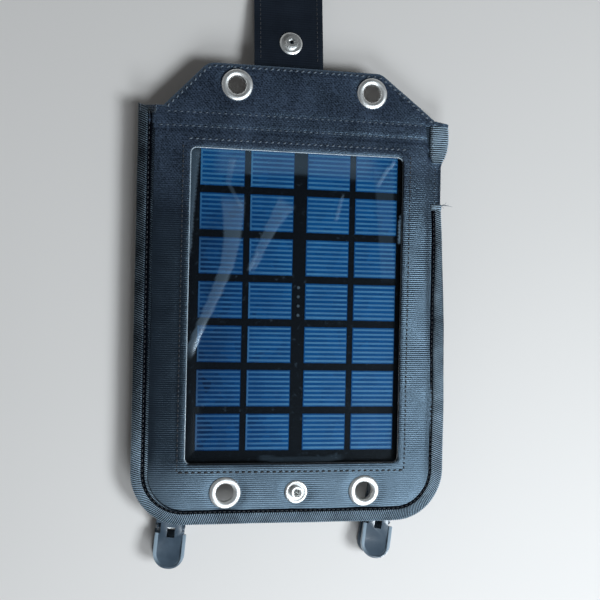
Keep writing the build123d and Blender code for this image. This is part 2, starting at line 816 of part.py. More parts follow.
def clip_nodes(side, clip):
    """Every piece of one clip, in its place on the pouch."""
    x, y, lean = clip
    place = Pos(x, y, 0) * Rot(0, 0, lean)
    return {
        f"{side}_clip_lever": place * make_clip_lever(),
        f"{side}_clip_jaw": place * make_clip_jaw(),
        f"{side}_clip_pin": place * make_clip_pin(),
        f"{side}_clip_spring": place * make_clip_spring(),
        f"{side}_clip_rivet": place * make_clip_rivet(),
        f"{side}_clip_tab": make_clip_tab(x, y),
    }


# ---- the whole part ----
def all_nodes():
    rows = [make_cell_row(i) for i in range(CELL_ROWS)]
    nodes = {
        "front_panel": make_front_panel(),
        "head_yoke": make_head_yoke(),
        "back_rim": make_back_rim(),
        "back_pocket": make_back_pocket(),
        "window_film": make_window_film(),
        "edge_binding": make_edge_binding(),
        "upper_binding": make_upper_binding(),
        "foam_pad": make_foam_pad(),
        "panel_board": make_panel_board(),
        "panel_resin": make_panel_resin(rows),
        "test_pads": make_test_pads(),
        "junction_box": make_junction_box(),
        "junction_box_lid": make_box_lid(),
        "circuit_board": make_circuit_board(),
        "output_socket": make_output_socket(),
        "panel_leads": make_panel_leads(),
        "choke": on_circuit(CHOKE),
        "diode": on_circuit(DIODE),
        "capacitor": on_circuit(CAPACITOR),
        "eyelets": at_spots(eyelet(), TOP_SPOTS + BOTTOM_SPOTS),
        "eyelet_washers": at_spots(washer(), TOP_SPOTS + BOTTOM_SPOTS),
        "front_snap_stud": Pos(*FRONT_SNAP, FRONT_TOP) * snap_stud(),
        "front_snap_post": Pos(*FRONT_SNAP, FRONT_TOP) * snap_post(2 * FABRIC),
        "strap_root": make_strap_root(),
        "strap_lower": make_strap_lower(),
        "strap_snap_stud": make_strap_stud(),
        "strap_snap_post": make_strap_stud_post(),
        "strap_tip": make_strap_tip(),
        "strap_snap_socket": make_strap_socket(),
        "strap_snap_cap": make_strap_cap(),
    }
    for index, row in enumerate(rows):
        nodes[f"cell_row_{index + 1}"] = row
    nodes.update(clip_nodes("left", LEFT_CLIP))
    nodes.update(clip_nodes("right", RIGHT_CLIP))
    return nodes


os.makedirs("parts", exist_ok=True)
for name, shape in all_nodes().items():
    export_step(shape, f"parts/{name}.step")
print(f"strap slope {STRAP_SLOPE:.3f} degrees, lower run {LOWER_RUN:.3f} mm")
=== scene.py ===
import json
import math

import bmesh
import bpy
import numpy as np
from mathutils import Matrix, Vector, noise
from mathutils.geometry import delaunay_2d_cdt


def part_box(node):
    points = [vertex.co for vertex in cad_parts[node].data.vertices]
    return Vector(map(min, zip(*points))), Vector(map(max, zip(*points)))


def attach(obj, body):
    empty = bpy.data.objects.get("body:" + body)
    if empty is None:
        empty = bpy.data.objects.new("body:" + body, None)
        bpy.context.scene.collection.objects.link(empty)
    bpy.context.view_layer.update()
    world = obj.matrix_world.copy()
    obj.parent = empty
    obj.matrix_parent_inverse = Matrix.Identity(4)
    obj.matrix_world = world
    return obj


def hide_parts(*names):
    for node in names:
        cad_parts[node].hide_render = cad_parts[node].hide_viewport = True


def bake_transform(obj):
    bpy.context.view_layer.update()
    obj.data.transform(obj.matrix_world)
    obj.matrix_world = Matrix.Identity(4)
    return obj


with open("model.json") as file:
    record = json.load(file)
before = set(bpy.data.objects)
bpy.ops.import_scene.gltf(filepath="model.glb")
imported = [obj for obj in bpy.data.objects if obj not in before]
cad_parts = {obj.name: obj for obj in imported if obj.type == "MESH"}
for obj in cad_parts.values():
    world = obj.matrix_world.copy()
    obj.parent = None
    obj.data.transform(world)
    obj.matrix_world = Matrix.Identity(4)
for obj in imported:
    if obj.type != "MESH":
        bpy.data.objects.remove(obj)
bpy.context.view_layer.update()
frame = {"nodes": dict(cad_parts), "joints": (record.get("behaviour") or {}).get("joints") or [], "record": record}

# Looks of the hanging solar charger: sewn cloth, tape, film, metal, plastic, light and camera.
# Every length below is in millimetres, in the part's own frame, unless its name says otherwise.

MM = 0.001


def limits(node):
    """Lowest and highest corner of a CAD node, in millimetres."""
    low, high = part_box(node)
    return np.array(low) / MM, np.array(high) / MM


# ---- places read from the frame ----
BINDING_LOW, BINDING_HIGH = limits("edge_binding")
HALF_WIDTH = BINDING_HIGH[0]
BOTTOM_Y = BINDING_LOW[1]
SHOULDER_Y = BINDING_HIGH[1]
EDGE_TAPE = HALF_WIDTH - limits("front_panel")[1][0]
HEAD_TOP_Y = limits("head_yoke")[1][1] + EDGE_TAPE
YOKE_Y = limits("head_yoke")[0][1]
SEAM_Z = limits("front_panel")[0][2]
FRONT_Z = limits("front_panel")[1][2]
CLOTH = FRONT_Z - SEAM_Z
RIM_Z = SEAM_Z - CLOTH
FILM_OVERLAP = 3.4  # how far the film reaches under the cloth in CAD
WINDOW_X = limits("window_film")[1][0] - FILM_OVERLAP
WINDOW_Y = limits("window_film")[1][1] - FILM_OVERLAP
MOUTH_HIGH_Y = limits("upper_binding")[0][1]
RESIN_Z = limits("panel_resin")[1][2]
MOUNTS = {mount["name"]: mount for mount in frame["record"]["mounts"]}
JOINTS = {joint["name"]: joint for joint in frame["joints"]}


def eyelet_pair(name):
    """Centres of the two eyelets that a mount describes."""
    mount = MOUNTS[name]
    x, y = (value / MM for value in mount["pos_m"][:2])
    half = mount["dims"]["spacing_x_mm"] / 2
    return [(x - half, y), (x + half, y)]


def centre_of(node):
    low, high = limits(node)
    return (low + high) / 2


EYELETS = eyelet_pair("top_eyelets") + eyelet_pair("bottom_eyelets")
EYELET_FLANGE = 8.5
EYELET_BORE = 4.8
EYELET_HOLE = 5.6  # hole in the cloth round the barrel
FRONT_SNAP = tuple(centre_of("front_snap_stud")[:2])
SNAP_FLANGE = 6.2
SNAP_HOLE = 2.4

# ---- dimensions of the sewn work ----
CORNER_RADIUS = 28.0
HEAD_TOP_X = (-50.2, 45.5)
HEAD_BASE_X = (-73.5, 77.0)
HEAD_RADIUS = 9.0
WINDOW_RADIUS = 3.6
MOUTH_LOW_Y = 58.5
MOUTH_HEM_X = 77.8  # seam of the turned edge at the cable mouth
# Heights up the pouch, and how far its right-hand side is drawn in there
WAIST = ((-200, 0.6), (-90, 0.6), (-50, 0.6), (-10, 1.4), (40, 3.7),
         (58, 4.9), (80, 4.9), (86, 3.3), (93, 1.7), (130, 1.9))
CROWN = 2.4  # how far the cloth beside the window stands above the edge seam
HEM_WIDTH = 3.4  # folded edge round the window
WINDOW_LIFT = 1.1  # rise of the film's sewn edge above the seam
STITCH = 3.3  # pitch of the large stitches
FINE_STITCH = 2.6
CLEARANCE = 0.2  # between the cloth and the tape folded over it


# ---- numbers over many points at once ----
def smooth(value, low, high):
    """Smooth step from 0 at low to 1 at high."""
    t = np.clip((np.asarray(value, float) - low) / (high - low), 0, 1)
    return t * t * (3 - 2 * t)


def bump(value, width):
    """Bell curve, 1 where value is 0."""
    return np.exp(-((np.asarray(value, float) / width) ** 2))


def ripple(x, y, size, seed):
    """Smooth noise from -1 to 1 whose waves are about size long."""
    pairs = zip(np.atleast_1d(x), np.atleast_1d(y))
    return np.array([noise.noise(Vector((a / size, b / size, seed))) for a, b in pairs])


def box_distance(x, y, half_x, half_y, radius, centre=(0.0, 0.0)):
    """Distance outside a rounded rectangle; negative inside."""
    dx = np.abs(x - centre[0]) - (half_x - radius)
    dy = np.abs(y - centre[1]) - (half_y - radius)
    outside = np.hypot(np.maximum(dx, 0), np.maximum(dy, 0))
    return outside + np.minimum(np.maximum(dx, dy), 0) - radius


def window_distance(x, y):
    """Distance outside the window's opening; negative over the film."""
    return box_distance(x, y, WINDOW_X, WINDOW_Y, WINDOW_RADIUS)


def chain_distance(x, y, chain):
    """Distance to a chain of points, and the length along it of the nearest point."""
    best = np.full(len(x), 1e9)
    along = np.zeros(len(x))
    run = 0.0
    for (x0, y0), (x1, y1) in zip(chain[:-1], chain[1:]):
        length = math.hypot(x1 - x0, y1 - y0)
        if length < 1e-9:
            continue
        ux, uy = (x1 - x0) / length, (y1 - y0) / length
        t = np.clip((x - x0) * ux + (y - y0) * uy, 0, length)
        gap = np.hypot(x - x0 - t * ux, y - y0 - t * uy)
        closer = gap < best
        best = np.where(closer, gap, best)
        along = np.where(closer, run + t, along)
        run += length
    return best, along


def inside_loop(x, y, loop):
    """True for each point inside a closed loop."""
    inside = np.zeros(len(x), bool)
    for (x0, y0), (x1, y1) in zip(loop, loop[1:] + loop[:1]):
        if y0 == y1:
            continue
        crosses = (y0 > y) != (y1 > y)
        inside ^= crosses & (x < (x1 - x0) * (y - y0) / (y1 - y0) + x0)
    return inside


# ---- outlines ----
def arc(cx, cy, radius, start, end, count=14):
    """Points on an arc, angles in degrees."""
    angles = [math.radians(start + (end - start) * i / count) for i in range(count + 1)]
    return [(cx + radius * math.cos(a), cy + radius * math.sin(a)) for a in angles]


def divided(loop, step, closed=True):
    """The same outline with points at most one step apart."""
    ends = loop[1:] + loop[:1] if closed else loop[1:]
    points = []
    for (x0, y0), (x1, y1) in zip(loop, ends):
        count = max(1, math.ceil(math.hypot(x1 - x0, y1 - y0) / step))
        points += [(x0 + (x1 - x0) * i / count, y0 + (y1 - y0) * i / count) for i in range(count)]
    return points if closed else points + [loop[-1]]


def lower_outline(inset):
    """Left side, bottom and right side of the pouch, from the left shoulder's foot round."""
    half = HALF_WIDTH - CORNER_RADIUS
    low = BOTTOM_Y + CORNER_RADIUS
    radius = CORNER_RADIUS - inset
    return arc(-half, low, radius, 180, 270) + arc(half, low, radius, 270, 360)


def offset_chain(points, inset):
    """The chain moved to its left by inset, with its corners kept mitred."""
    normals = []
    for (x0, y0), (x1, y1) in zip(points[:-1], points[1:]):
        length = math.hypot(x1 - x0, y1 - y0)
        normals.append(((y0 - y1) / length, (x1 - x0) / length))
    moved = []
    for i, (x, y) in enumerate(points):
        ax, ay = normals[max(i - 1, 0)]
        bx, by = normals[min(i, len(normals) - 1)]
        reach = inset / (1 + ax * bx + ay * by)
        moved.append((x + (ax + bx) * reach, y + (ay + by) * reach))
    return moved


def rounded(points, radius, count=7):
    """The chain with its inner corners turned in soft curves."""
    soft = [points[0]]
    for before, corner, after in zip(points[:-2], points[1:-1], points[2:]):
        p, c, q = Vector(before), Vector(corner), Vector(after)
        turn = (c - p).angle(q - c)
        cut = radius * math.tan(turn / 2)
        start, end = c + (p - c).normalized() * cut, c + (q - c).normalized() * cut
        for i in range(count + 1):
            t = i / count
            soft.append(tuple((1 - t) ** 2 * start + 2 * t * (1 - t) * c + t * t * end))
    return soft + [points[-1]]


def head_outline(inset):
    """The head from its right foot over the top to its left foot."""
    corners = [(HEAD_BASE_X[1], SHOULDER_Y), (HEAD_TOP_X[1], HEAD_TOP_Y),
               (HEAD_TOP_X[0], HEAD_TOP_Y), (HEAD_BASE_X[0], SHOULDER_Y)]
    return rounded(offset_chain(corners, inset), HEAD_RADIUS)


def waist_pull(y):
    """How far the right-hand side is drawn in at a height."""
    return np.interp(y, *zip(*WAIST))


def waisted(x, y):
    """Draws the right-hand side inwards towards the cable mouth, as the sewn pouch does."""
    return x - waist_pull(y) * smooth(x, 62, 84)


def window_outline(grow=0.0):
    half_x, half_y, radius = WINDOW_X + grow, WINDOW_Y + grow, WINDOW_RADIUS + max(grow, -2.0)
    x, y = half_x - radius, half_y - radius
    loop = arc(x, y, radius, 0, 90, 8) + arc(-x, y, radius, 90, 180, 8)
    return loop + arc(-x, -y, radius, 180, 270, 8) + arc(x, -y, radius, 270, 360, 8)


def circle(cx, cy, radius, count=40):
    return arc(cx, cy, radius, 0, 360, count)[:-1]


def unit(rows):
    """Each row of a table as a vector of length 1."""
    return rows / np.linalg.norm(rows, axis=1)[:, None]


def averaged(rows, count):
    """Each row of a two-column table as the mean of the count rows round it."""
    padded = np.pad(rows, ((count // 2, count // 2), (0, 0)), mode="edge")
    kernel = np.ones(count) / count
    return np.column_stack([np.convolve(padded[:, k], kernel, "valid") for k in (0, 1)])


# ---- mesh building ----
def new_object(name, data):
    obj = bpy.data.objects.new(name, data)
    bpy.context.scene.collection.objects.link(obj)
    return obj


def mesh_object(name, points, faces, sharp):
    """A smooth-shaded mesh from millimetre points, with sharp edges kept sharp."""
    mesh = bpy.data.meshes.new(name)
    mesh.from_pydata([tuple(float(c) * MM for c in p) for p in points], [], faces)
    mesh.validate()
    work = bmesh.new()
    work.from_mesh(mesh)
    bmesh.ops.recalc_face_normals(work, faces=work.faces)
    work.to_mesh(mesh)
    work.free()
    shade_smooth(mesh, sharp)
    return new_object(name, mesh)


def shade_smooth(mesh, sharp):
    mesh.polygons.foreach_set("use_smooth", [True] * len(mesh.polygons))
    mesh.set_sharp_from_angle(angle=math.radians(sharp))


def cut_sheet(outline, step, holes=(), hole_step=None):
    """A flat sheet as points and triangles, finely and evenly divided inside its outline."""
    outline = divided(outline, step)
    holes = [divided(hole, hole_step or step) for hole in holes]
    loops = [outline] + holes
    points, edges = [], []
    for loop in loops:
        first = len(points)
        points += loop
        edges += [(first + i, first + (i + 1) % len(loop)) for i in range(len(loop))]
    low, high = np.min(outline, 0), np.max(outline, 0)
    rows = np.arange(low[1], high[1], step * 0.866)
    columns = np.arange(low[0], high[0], step)
    grid = [(x + step / 2 * (i % 2), y) for i, y in enumerate(rows) for x in columns]
    gx, gy = np.array(grid).T
    keep = within(gx, gy, outline, holes)
    for loop in loops:
        keep &= chain_distance(gx, gy, loop + loop[:1])[0] > step * 0.55
    points += list(zip(gx[keep], gy[keep]))
    result = delaunay_2d_cdt([Vector(p) for p in points], edges, [], 1, 1e-5)
    flat = np.array([tuple(v) for v in result[0]])
    triangles = np.array([tuple(f) for f in result[2]])
    return flat, triangles[within(*flat[triangles].mean(1).T, outline, holes)]


def within(x, y, outline, holes):
    """True for each point inside the outline and outside the holes."""
    keep = inside_loop(x, y, outline)
    for hole in holes:
        keep &= ~inside_loop(x, y, hole)
    return keep


def thick_sheet(flat, triangles, top, bottom):
    """Points and faces of a closed sheet between two height fields."""
    count = len(flat)
    points = np.vstack([np.column_stack([flat, top]), np.column_stack([flat, bottom])])
    faces = [tuple(int(i) for i in t) for t in triangles]
    faces += [tuple(int(i) + count for i in t[::-1]) for t in triangles]
    directed = {(int(t[i]), int(t[(i + 1) % 3])) for t in triangles for i in range(3)}
    for a, b in directed:
        if (b, a) not in directed:
            faces.append((b, a, a + count, b + count))
    return points, faces


def tube(path, radius, sides=6):
    """Points and faces of a round thread along a path; radius is one number or one per point."""
    path = np.array(path, float)
    radii = np.broadcast_to(radius, len(path))
    ahead = unit(np.gradient(path, axis=0))
    side = unit(np.cross(ahead, np.array([0.13, 0.29, 0.95])))
    up = np.cross(side, ahead)
    points, faces = [], []
    for centre, s, u, r in zip(path, side, up, radii):
        for k in range(sides):
            a = 2 * math.pi * k / sides
            points.append(centre + r * (math.cos(a) * s + math.sin(a) * u))
    for i in range(len(path) - 1):
        for k in range(sides):
            a, b = i * sides + k, i * sides + (k + 1) % sides
            faces.append((a, b, b + sides, a + sides))
    faces.append(tuple(range(sides))[::-1])
    faces.append(tuple(range((len(path) - 1) * sides, len(path) * sides)))
    return points, faces


def merged(parts):
    """Many (points, faces) pieces as one."""
    points, faces = [], []
    for some_points, some_faces in parts:
        first = len(points)
        points += list(some_points)
        faces += [tuple(i + first for i in face) for face in some_faces]
    return points, faces


def lathe(profile, cx, cy, segments=72):
    """A closed (radius, z) outline turned about a vertical axis."""
    points, faces = [], []
    for i in range(segments):
        a = 2 * math.pi * i / segments
        points += [(cx + r * math.cos(a), cy + r * math.sin(a), z) for r, z in profile]
    n = len(profile)
    for i in range(segments):
        j = (i + 1) % segments
        for k in range(n):
            m = (k + 1) % n
            faces.append((i * n + k, j * n + k, j * n + m, i * n + m))
    return points, faces


def swept(sections):
    """A closed tube through rings of points that all have the same count."""
    n = len(sections[0])
    points = [p for ring in sections for p in ring]
    faces = []
    for i in range(len(sections) - 1):
        for k in range(n):
            m = (k + 1) % n
            faces.append((i * n + k, i * n + m, (i + 1) * n + m, (i + 1) * n + k))
    faces.append(tuple(range(n))[::-1])
    faces.append(tuple(range((len(sections) - 1) * n, len(sections) * n)))
    return points, faces


def paint(obj, name, values):
    """Stores one number per point for a material to read."""
    layer = obj.data.attributes.new(name, "FLOAT", "POINT")
    layer.data.foreach_set("value", np.asarray(values, np.float32))


def dress(obj, material, body="pouch", stands_for=()):
    """Gives a piece its material, its body and the CAD nodes that it stands for."""
    obj.data.materials.clear()
    obj.data.materials.append(material)
    if body is not None:
        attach(obj, body)
    if stands_for:
        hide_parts(*stands_for)
    return obj


def add_piece(name, shape, material, body="pouch", stands_for=(), sharp=40.0):
    """A new dressed piece from points and faces."""
    return dress(mesh_object(name, *shape, sharp), material, body, stands_for)


# ---- material helpers ----
class Value:
    """A shader node's output that adds and multiplies like a plain number."""

    def __init__(self, nodes, socket):
        self.nodes = nodes
        self.socket = socket

    def __add__(self, other):
        return self.nodes.math("ADD", self, other)

    def __sub__(self, other):
        return self.nodes.math("SUBTRACT", self, other)

    def __mul__(self, other):
        return self.nodes.math("MULTIPLY", self, other)

    def __pow__(self, other):
        return self.nodes.math("POWER", self, other)

    def clamped(self):
        """The same number, kept between 0 and 1."""
        self.socket.node.use_clamp = True
        return self


class Nodes:
    """Short names for adding and joining shader nodes."""

    def __init__(self, name):
        self.material = bpy.data.materials.new(name)
        self.material.use_nodes = True
        self.tree = self.material.node_tree
        self.tree.nodes.clear()
        self.place = self.add("ShaderNodeVectorMath", operation="SCALE")
        self.place.inputs["Scale"].default_value = 1 / MM
        self.tree.links.new(self.add("ShaderNodeTexCoord").outputs["Object"], self.place.inputs[0])

    def add(self, kind, source=None, target=0, **settings):
        """A new node; source is the vector node that feeds it."""
        node = self.tree.nodes.new(kind)
        for key, value in settings.items():
            setattr(node, key, value)
        if source is not None:
            self.tree.links.new(source.outputs[0], node.inputs[target])
        return node

    def feed(self, socket, value):
        """Sets an input to a number or colour, or joins another node's output to it."""
        if isinstance(value, Value):
            self.tree.links.new(value.socket, socket)
        elif isinstance(value, tuple):
            socket.default_value = (*value, 1.0)[:4]
        else:
            socket.default_value = value

    def shader(self, kind="ShaderNodeBsdfPrincipled", **inputs):
        node = self.add(kind)
        for key, value in inputs.items():
            self.feed(node.inputs[key.replace("_", " ")], value)
        return node

    def surface(self, **inputs):
        """The finished material, with one principled shader."""
        return self.finish(self.shader(**inputs))

    def finish(self, shader):
        self.add("ShaderNodeOutputMaterial", shader)
        return self.material

    def blended(self, share, first, second):
        """Two shaders mixed; share is the second one's part."""
        node = self.add("ShaderNodeMixShader", first, 1)
        self.feed(node.inputs[0], share)
        self.tree.links.new(second.outputs[0], node.inputs[2])
        return node

    def math(self, operation, a, b=0.0):
        node = self.add("ShaderNodeMath", operation=operation)
        self.feed(node.inputs[0], a)
        self.feed(node.inputs[1], b)
        return Value(self, node.outputs[0])

    def waves(self, pitch, direction, distortion, detail_scale):
        """Even ribs with the given pitch along an axis."""
        node = self.add("ShaderNodeTexWave", self.place, "Vector", bands_direction=direction)
        node.inputs["Scale"].default_value = 2 * math.pi / (20 * pitch)
        node.inputs["Distortion"].default_value = distortion
        node.inputs["Detail Scale"].default_value = detail_scale
        return Value(self, node.outputs["Fac"])

    def noise(self, size, detail=3.0):
        """Cloudy noise whose patches are about size across."""
        node = self.add("ShaderNodeTexNoise", self.place, "Vector")
        node.inputs["Scale"].default_value = 1 / size
        node.inputs["Detail"].default_value = detail
        return Value(self, node.outputs["Fac"])

    def grains(self, size, output):
        """Cells of random shape, about size across."""
        node = self.add("ShaderNodeTexVoronoi", self.place, "Vector", feature="F1")
        node.inputs["Scale"].default_value = 1 / size
        return Value(self, node.outputs[output])

    def axes(self, source=None):
        """The three coordinates of a vector node, or of the shaded place in millimetres."""
        split = self.add("ShaderNodeSeparateXYZ", source or self.place)
        return [Value(self, socket) for socket in split.outputs]

    def step(self, value, low, high):
        """Smooth step of a value from 0 at low to 1 at high."""
        node = self.add("ShaderNodeMapRange", interpolation_type="SMOOTHSTEP")
        self.feed(node.inputs["Value"], value)
        node.inputs["From Min"].default_value = min(low, high)
        node.inputs["From Max"].default_value = max(low, high)
        node.inputs["To Min"].default_value = 0.0 if low < high else 1.0
        node.inputs["To Max"].default_value = 1.0 if low < high else 0.0
        return Value(self, node.outputs["Result"])

    def ramp(self, value, *stops):
        """Colours along a value, from pairs of a position and a colour."""
        node = self.add("ShaderNodeValToRGB")
        fill_ramp(node.color_ramp, stops)
        self.feed(node.inputs[0], value)
        return Value(self, node.outputs[0])

    def mix(self, factor, a, b):
        node = self.add("ShaderNodeMix", data_type="RGBA")
        for i, value in ((0, factor), (6, a), (7, b)):
            self.feed(node.inputs[i], value)
        return Value(self, node.outputs[2])

    def mirror_share(self, straight_on, normal):
        """Share of light a clear sheet mirrors, the same from either of its faces."""
        facing = self.add("ShaderNodeLayerWeight")
        facing.inputs["Blend"].default_value = 0.5
        self.feed(facing.inputs["Normal"], normal)
        return Value(self, facing.outputs["Facing"]) ** 5.0 * (1 - straight_on) + straight_on

    def bumped(self, height, distance, strength=1.0):
        node = self.add("ShaderNodeBump")
        node.inputs["Strength"].default_value = strength
        node.inputs["Distance"].default_value = distance * MM
        self.feed(node.inputs["Height"], height)
        return Value(self, node.outputs[0])

    def attribute(self, name):
        return Value(self, self.add("ShaderNodeAttribute", attribute_name=name).outputs["Fac"])


def fill_ramp(ramp, stops):
    while len(ramp.elements) < len(stops):
        ramp.elements.new(0.5)
    for element, (position, colour) in zip(ramp.elements, stops):
        element.position = position
        element.color = (*colour, 1.0)


NAVY_BLACK = (0.0018, 0.0024, 0.0050)
NAVY_WORN = (0.009, 0.013, 0.021)
HEAD_BLACK = (0.0020, 0.0030, 0.0070)
HEAD_WORN = (0.042, 0.060, 0.096)
# Painted highlight on the head's turned edge, where it catches the light
PAINTED_EDGE_HIGHLIGHT = (0.10, 0.14, 0.19)
# Painted sheen on the cloth low down: the dark and light ends of its ramp
PAINTED_SHEEN_DARK = (0.010, 0.015, 0.022)
PAINTED_SHEEN_LIGHT = (0.115, 0.155, 0.195)
PAINTED_SHEEN_FROM, PAINTED_SHEEN_TO = -78.0, -97.0  # heights between which the cloth turns pale with painted sheen
CLOTH_RIB = 1.12
CLOTH_TINT = (0.52, 0.77, 1.0)
SPECKLED_FROM, SPECKLED_TO = 20.0, 90.0  # heights between which the smooth weave turns speckled
CLIP_LEAN = {"left": -6.0, "right": -10.0}  # turn of each clip about its rivet, in degrees
TAIL_ROUND_Y = -24.4  # where the tail's round end starts, from the rivet
TAIL_RIM = 6.5  # half-width inside the tail's rims
SHOULDER_LOW = -14.6  # the painted highlight on the tail's rims shows only below this, from the rivet


def woven_surface(n, colour, weave, rough, relief, shine):
    """Dull synthetic thread that shines blue where it faces the light."""
    return n.surface(Base_Color=colour, Roughness=n.noise(9.0, 4.0) * 0.2 + (rough - 0.1),
                     Normal=n.bumped(weave, relief), Specular_IOR_Level=shine, Specular_Tint=CLOTH_TINT)


def cloth_material(name):
    """Pouch cloth: clean ribs across it low down with painted sheen along the bottom, speckled with worn threads
    towards the head, and a painted highlight on the head's turned edge.
    """
    n = Nodes(name)
    _, along, _ = n.axes()
    high = n.step(along, SPECKLED_FROM, SPECKLED_TO)
    ribs = n.waves(CLOTH_RIB, "Y", 0.5, 0.4)
    twill = n.waves(0.9, "DIAGONAL", 1.2, 0.6)
    lumps = n.noise(0.95, 2.0)
    weave = n.mix(high, ribs * 0.66 + lumps * 0.5, ribs * 0.12 + lumps * 1.35 + twill * 0.18)
    amount = (weave * (n.noise(17.0, 5.0) * 0.6 + 0.4)).clamped()
    plain = n.ramp(amount, (0.25, NAVY_BLACK), (0.80, NAVY_WORN))
    # Painted sheen: the cloth along the bottom is coloured paler where it faces the light
    painted_sheen = n.ramp(amount, (0.20, PAINTED_SHEEN_DARK), (0.80, PAINTED_SHEEN_LIGHT))
    low_colour = n.mix(n.step(along, PAINTED_SHEEN_FROM, PAINTED_SHEEN_TO), plain, painted_sheen)
    colour = n.mix(high, low_colour, n.ramp(amount, (0.36, HEAD_BLACK), (0.80, HEAD_WORN)))
    # Painted highlight along the head's turned edge
    colour = n.mix(n.attribute("painted_edge_highlight") * 0.7, colour, PAINTED_EDGE_HIGHLIGHT)
    return woven_surface(n, colour, weave, 0.35, 0.13, 0.85)


def webbing_material(name, rib, dark, light, rough, relief, shine):
    """Woven webbing or plain cloth with even ribs."""
    n = Nodes(name)
    weave = n.waves(rib, "Y", 0.5, 0.4) * 0.55 + n.waves(0.9, "X", 0.8, 0.5) * 0.22 + n.noise(0.75, 2.0) * 0.6
    amount = (weave * (n.noise(17.0, 5.0) * 1.3)).clamped()
    return woven_surface(n, n.ramp(amount, (0.18, dark), (0.80, light)), weave, rough, relief, shine)


def tape_material():
    """Ribbed tape: crests with painted highlights and wear, valleys and stitch groove with painted shade, and
    twisted threads inside each rib.
    """
    n = Nodes("edge_tape")
    fibres = n.noise(0.45, 2.0)
    crests = n.attribute("rib") * (fibres * 1.1 + 0.35)
    amount = (crests * (n.noise(15.0, 3.0) + 0.45)).clamped()
    colour = n.ramp(amount, (0.24, (0.0012, 0.0016, 0.0032)), (0.98, (0.46, 0.60, 0.72)))
    return n.surface(Base_Color=colour, Roughness=0.40, Normal=n.bumped(fibres, 0.12),
                     Specular_IOR_Level=(amount * 1.25).clamped(), Specular_Tint=CLOTH_TINT)


def thread_material(name, dark, light):
    n = Nodes(name)
    twist = n.noise(0.5, 2.0)
    return n.surface(Base_Color=n.ramp(twist, (0.3, dark), (0.75, light)), Roughness=0.55,
                     Normal=n.bumped(twist, 0.06), Sheen_Weight=0.2)


def clear_pane(n, tint, mirrored, rough, relief, straight_on):
    """A clear sheet that mirrors a share of the light."""
    clear = n.shader("ShaderNodeBsdfTransparent", Color=tint)
    mirror = n.shader("ShaderNodeBsdfGlossy", Color=mirrored, Roughness=rough, Normal=relief)
    return n.blended(n.mirror_share(straight_on, relief), clear, mirror)


def film_material():
    """Clear flexible film: mirrors a little, and is hazy where it is creased or scuffed; the crease haze is partly
    painted glare, and the band along the top is a painted reflection.
    """
    n = Nodes("clear_film")
    haze_and_painted_glare = n.attribute("haze_and_painted_glare")
    relief = n.bumped(n.noise(9.0, 2.0), 0.06, 0.6)
    rough = (haze_and_painted_glare * 2.4 + 0.10).clamped()
    pane = clear_pane(n, (0.93, 0.96, 0.98), (0.55, 0.62, 0.68), rough, relief, 0.035)
    milky = n.shader("ShaderNodeBsdfDiffuse", Color=(0.30, 0.46, 0.62))
    scuffs = n.ramp(n.noise(2.6, 5.0), (0.62, (0, 0, 0)), (0.82, (0.04, 0.04, 0.04)))
    # Milky colour along the creases, partly painted glare, and along the top a painted reflection
    return n.finish(n.blended((haze_and_painted_glare + scuffs).clamped(), pane, milky))


def resin_material():
    """Clear glossy resin over the cells."""
    n = Nodes("clear_resin")
    relief = n.bumped(n.noise(30.0, 2.0), 0.05)
    return n.finish(clear_pane(n, (0.96, 0.98, 0.99), (0.8, 0.85, 0.9), 0.06, relief, 0.012))


def metal_material(name, dim=1.0):
    """Plated metal with faint brushing, tarnish in patches and small scratches."""
    n = Nodes(name)
    bright = (0.55, (0.93, 0.94, 0.93)), (0.9, (0.97, 0.97, 0.95))
    colour = n.ramp(n.noise(5.0, 5.0) * dim, (0.25, (0.74, 0.75, 0.75)), *bright)
    scratches = n.noise(0.35, 3.0)
    return n.surface(Base_Color=colour, Roughness=scratches * 0.16 + 0.34,
                     Normal=n.bumped(scratches, 0.02), Metallic=1.0)


def plastic_material(name, colour, rough, grain=0.02):
    """Moulded plastic with a faint skin texture and slight wear."""
    n = Nodes(name)
    patches = n.noise(7.0, 4.0)
    lighter = tuple(min(1.0, c * 1.6 + 0.004) for c in colour)
    return n.surface(Base_Color=n.ramp(patches, (0.35, colour), (0.8, lighter)),
                     Roughness=patches * 0.14 + (rough - 0.05), Normal=n.bumped(n.noise(0.6), grain))


def clip_material(side, pivot):
    """Glossy moulded plastic, with a painted highlight along the rims of the tail."""
    n = Nodes(f"{side}_clip_plastic")
    local = n.add("ShaderNodeVectorMath", n.place, operation="SUBTRACT")
    local.inputs[1].default_value = pivot
    turned = n.add("ShaderNodeVectorRotate", local, "Vector", rotation_type="Z_AXIS")
    turned.inputs["Angle"].default_value = -math.radians(CLIP_LEAN[side])
    x, y, z = n.axes(turned)
    below = n.math("MINIMUM", y - TAIL_ROUND_Y, 0.0)
    # Mask of the painted highlight along the tail's upper rims, where they catch the light
    rim = n.step(n.math("SQRT", x ** 2.0 + below ** 2.0), TAIL_RIM - 0.3, TAIL_RIM + 0.3)
    rim = rim * n.step(y, TAIL_ROUND_Y - 7.0, TAIL_ROUND_Y - 1.0)
    rim = rim * n.step(y, SHOULDER_LOW + 0.2, SHOULDER_LOW) * n.step(z, 7.4, 8.0)
    patches = n.noise(7.0, 4.0)
    body = n.ramp(patches, (0.35, (0.044, 0.068, 0.096)), (0.8, (0.074, 0.108, 0.145)))
    # Paler colour where the painted rim highlight is
    return n.surface(Base_Color=n.mix(rim, body, (0.27, 0.35, 0.42)), Roughness=patches * 0.14 + 0.28,
                     Normal=n.bumped(n.noise(0.6), 0.015), Coat_Weight=0.7, Coat_Roughness=0.15)


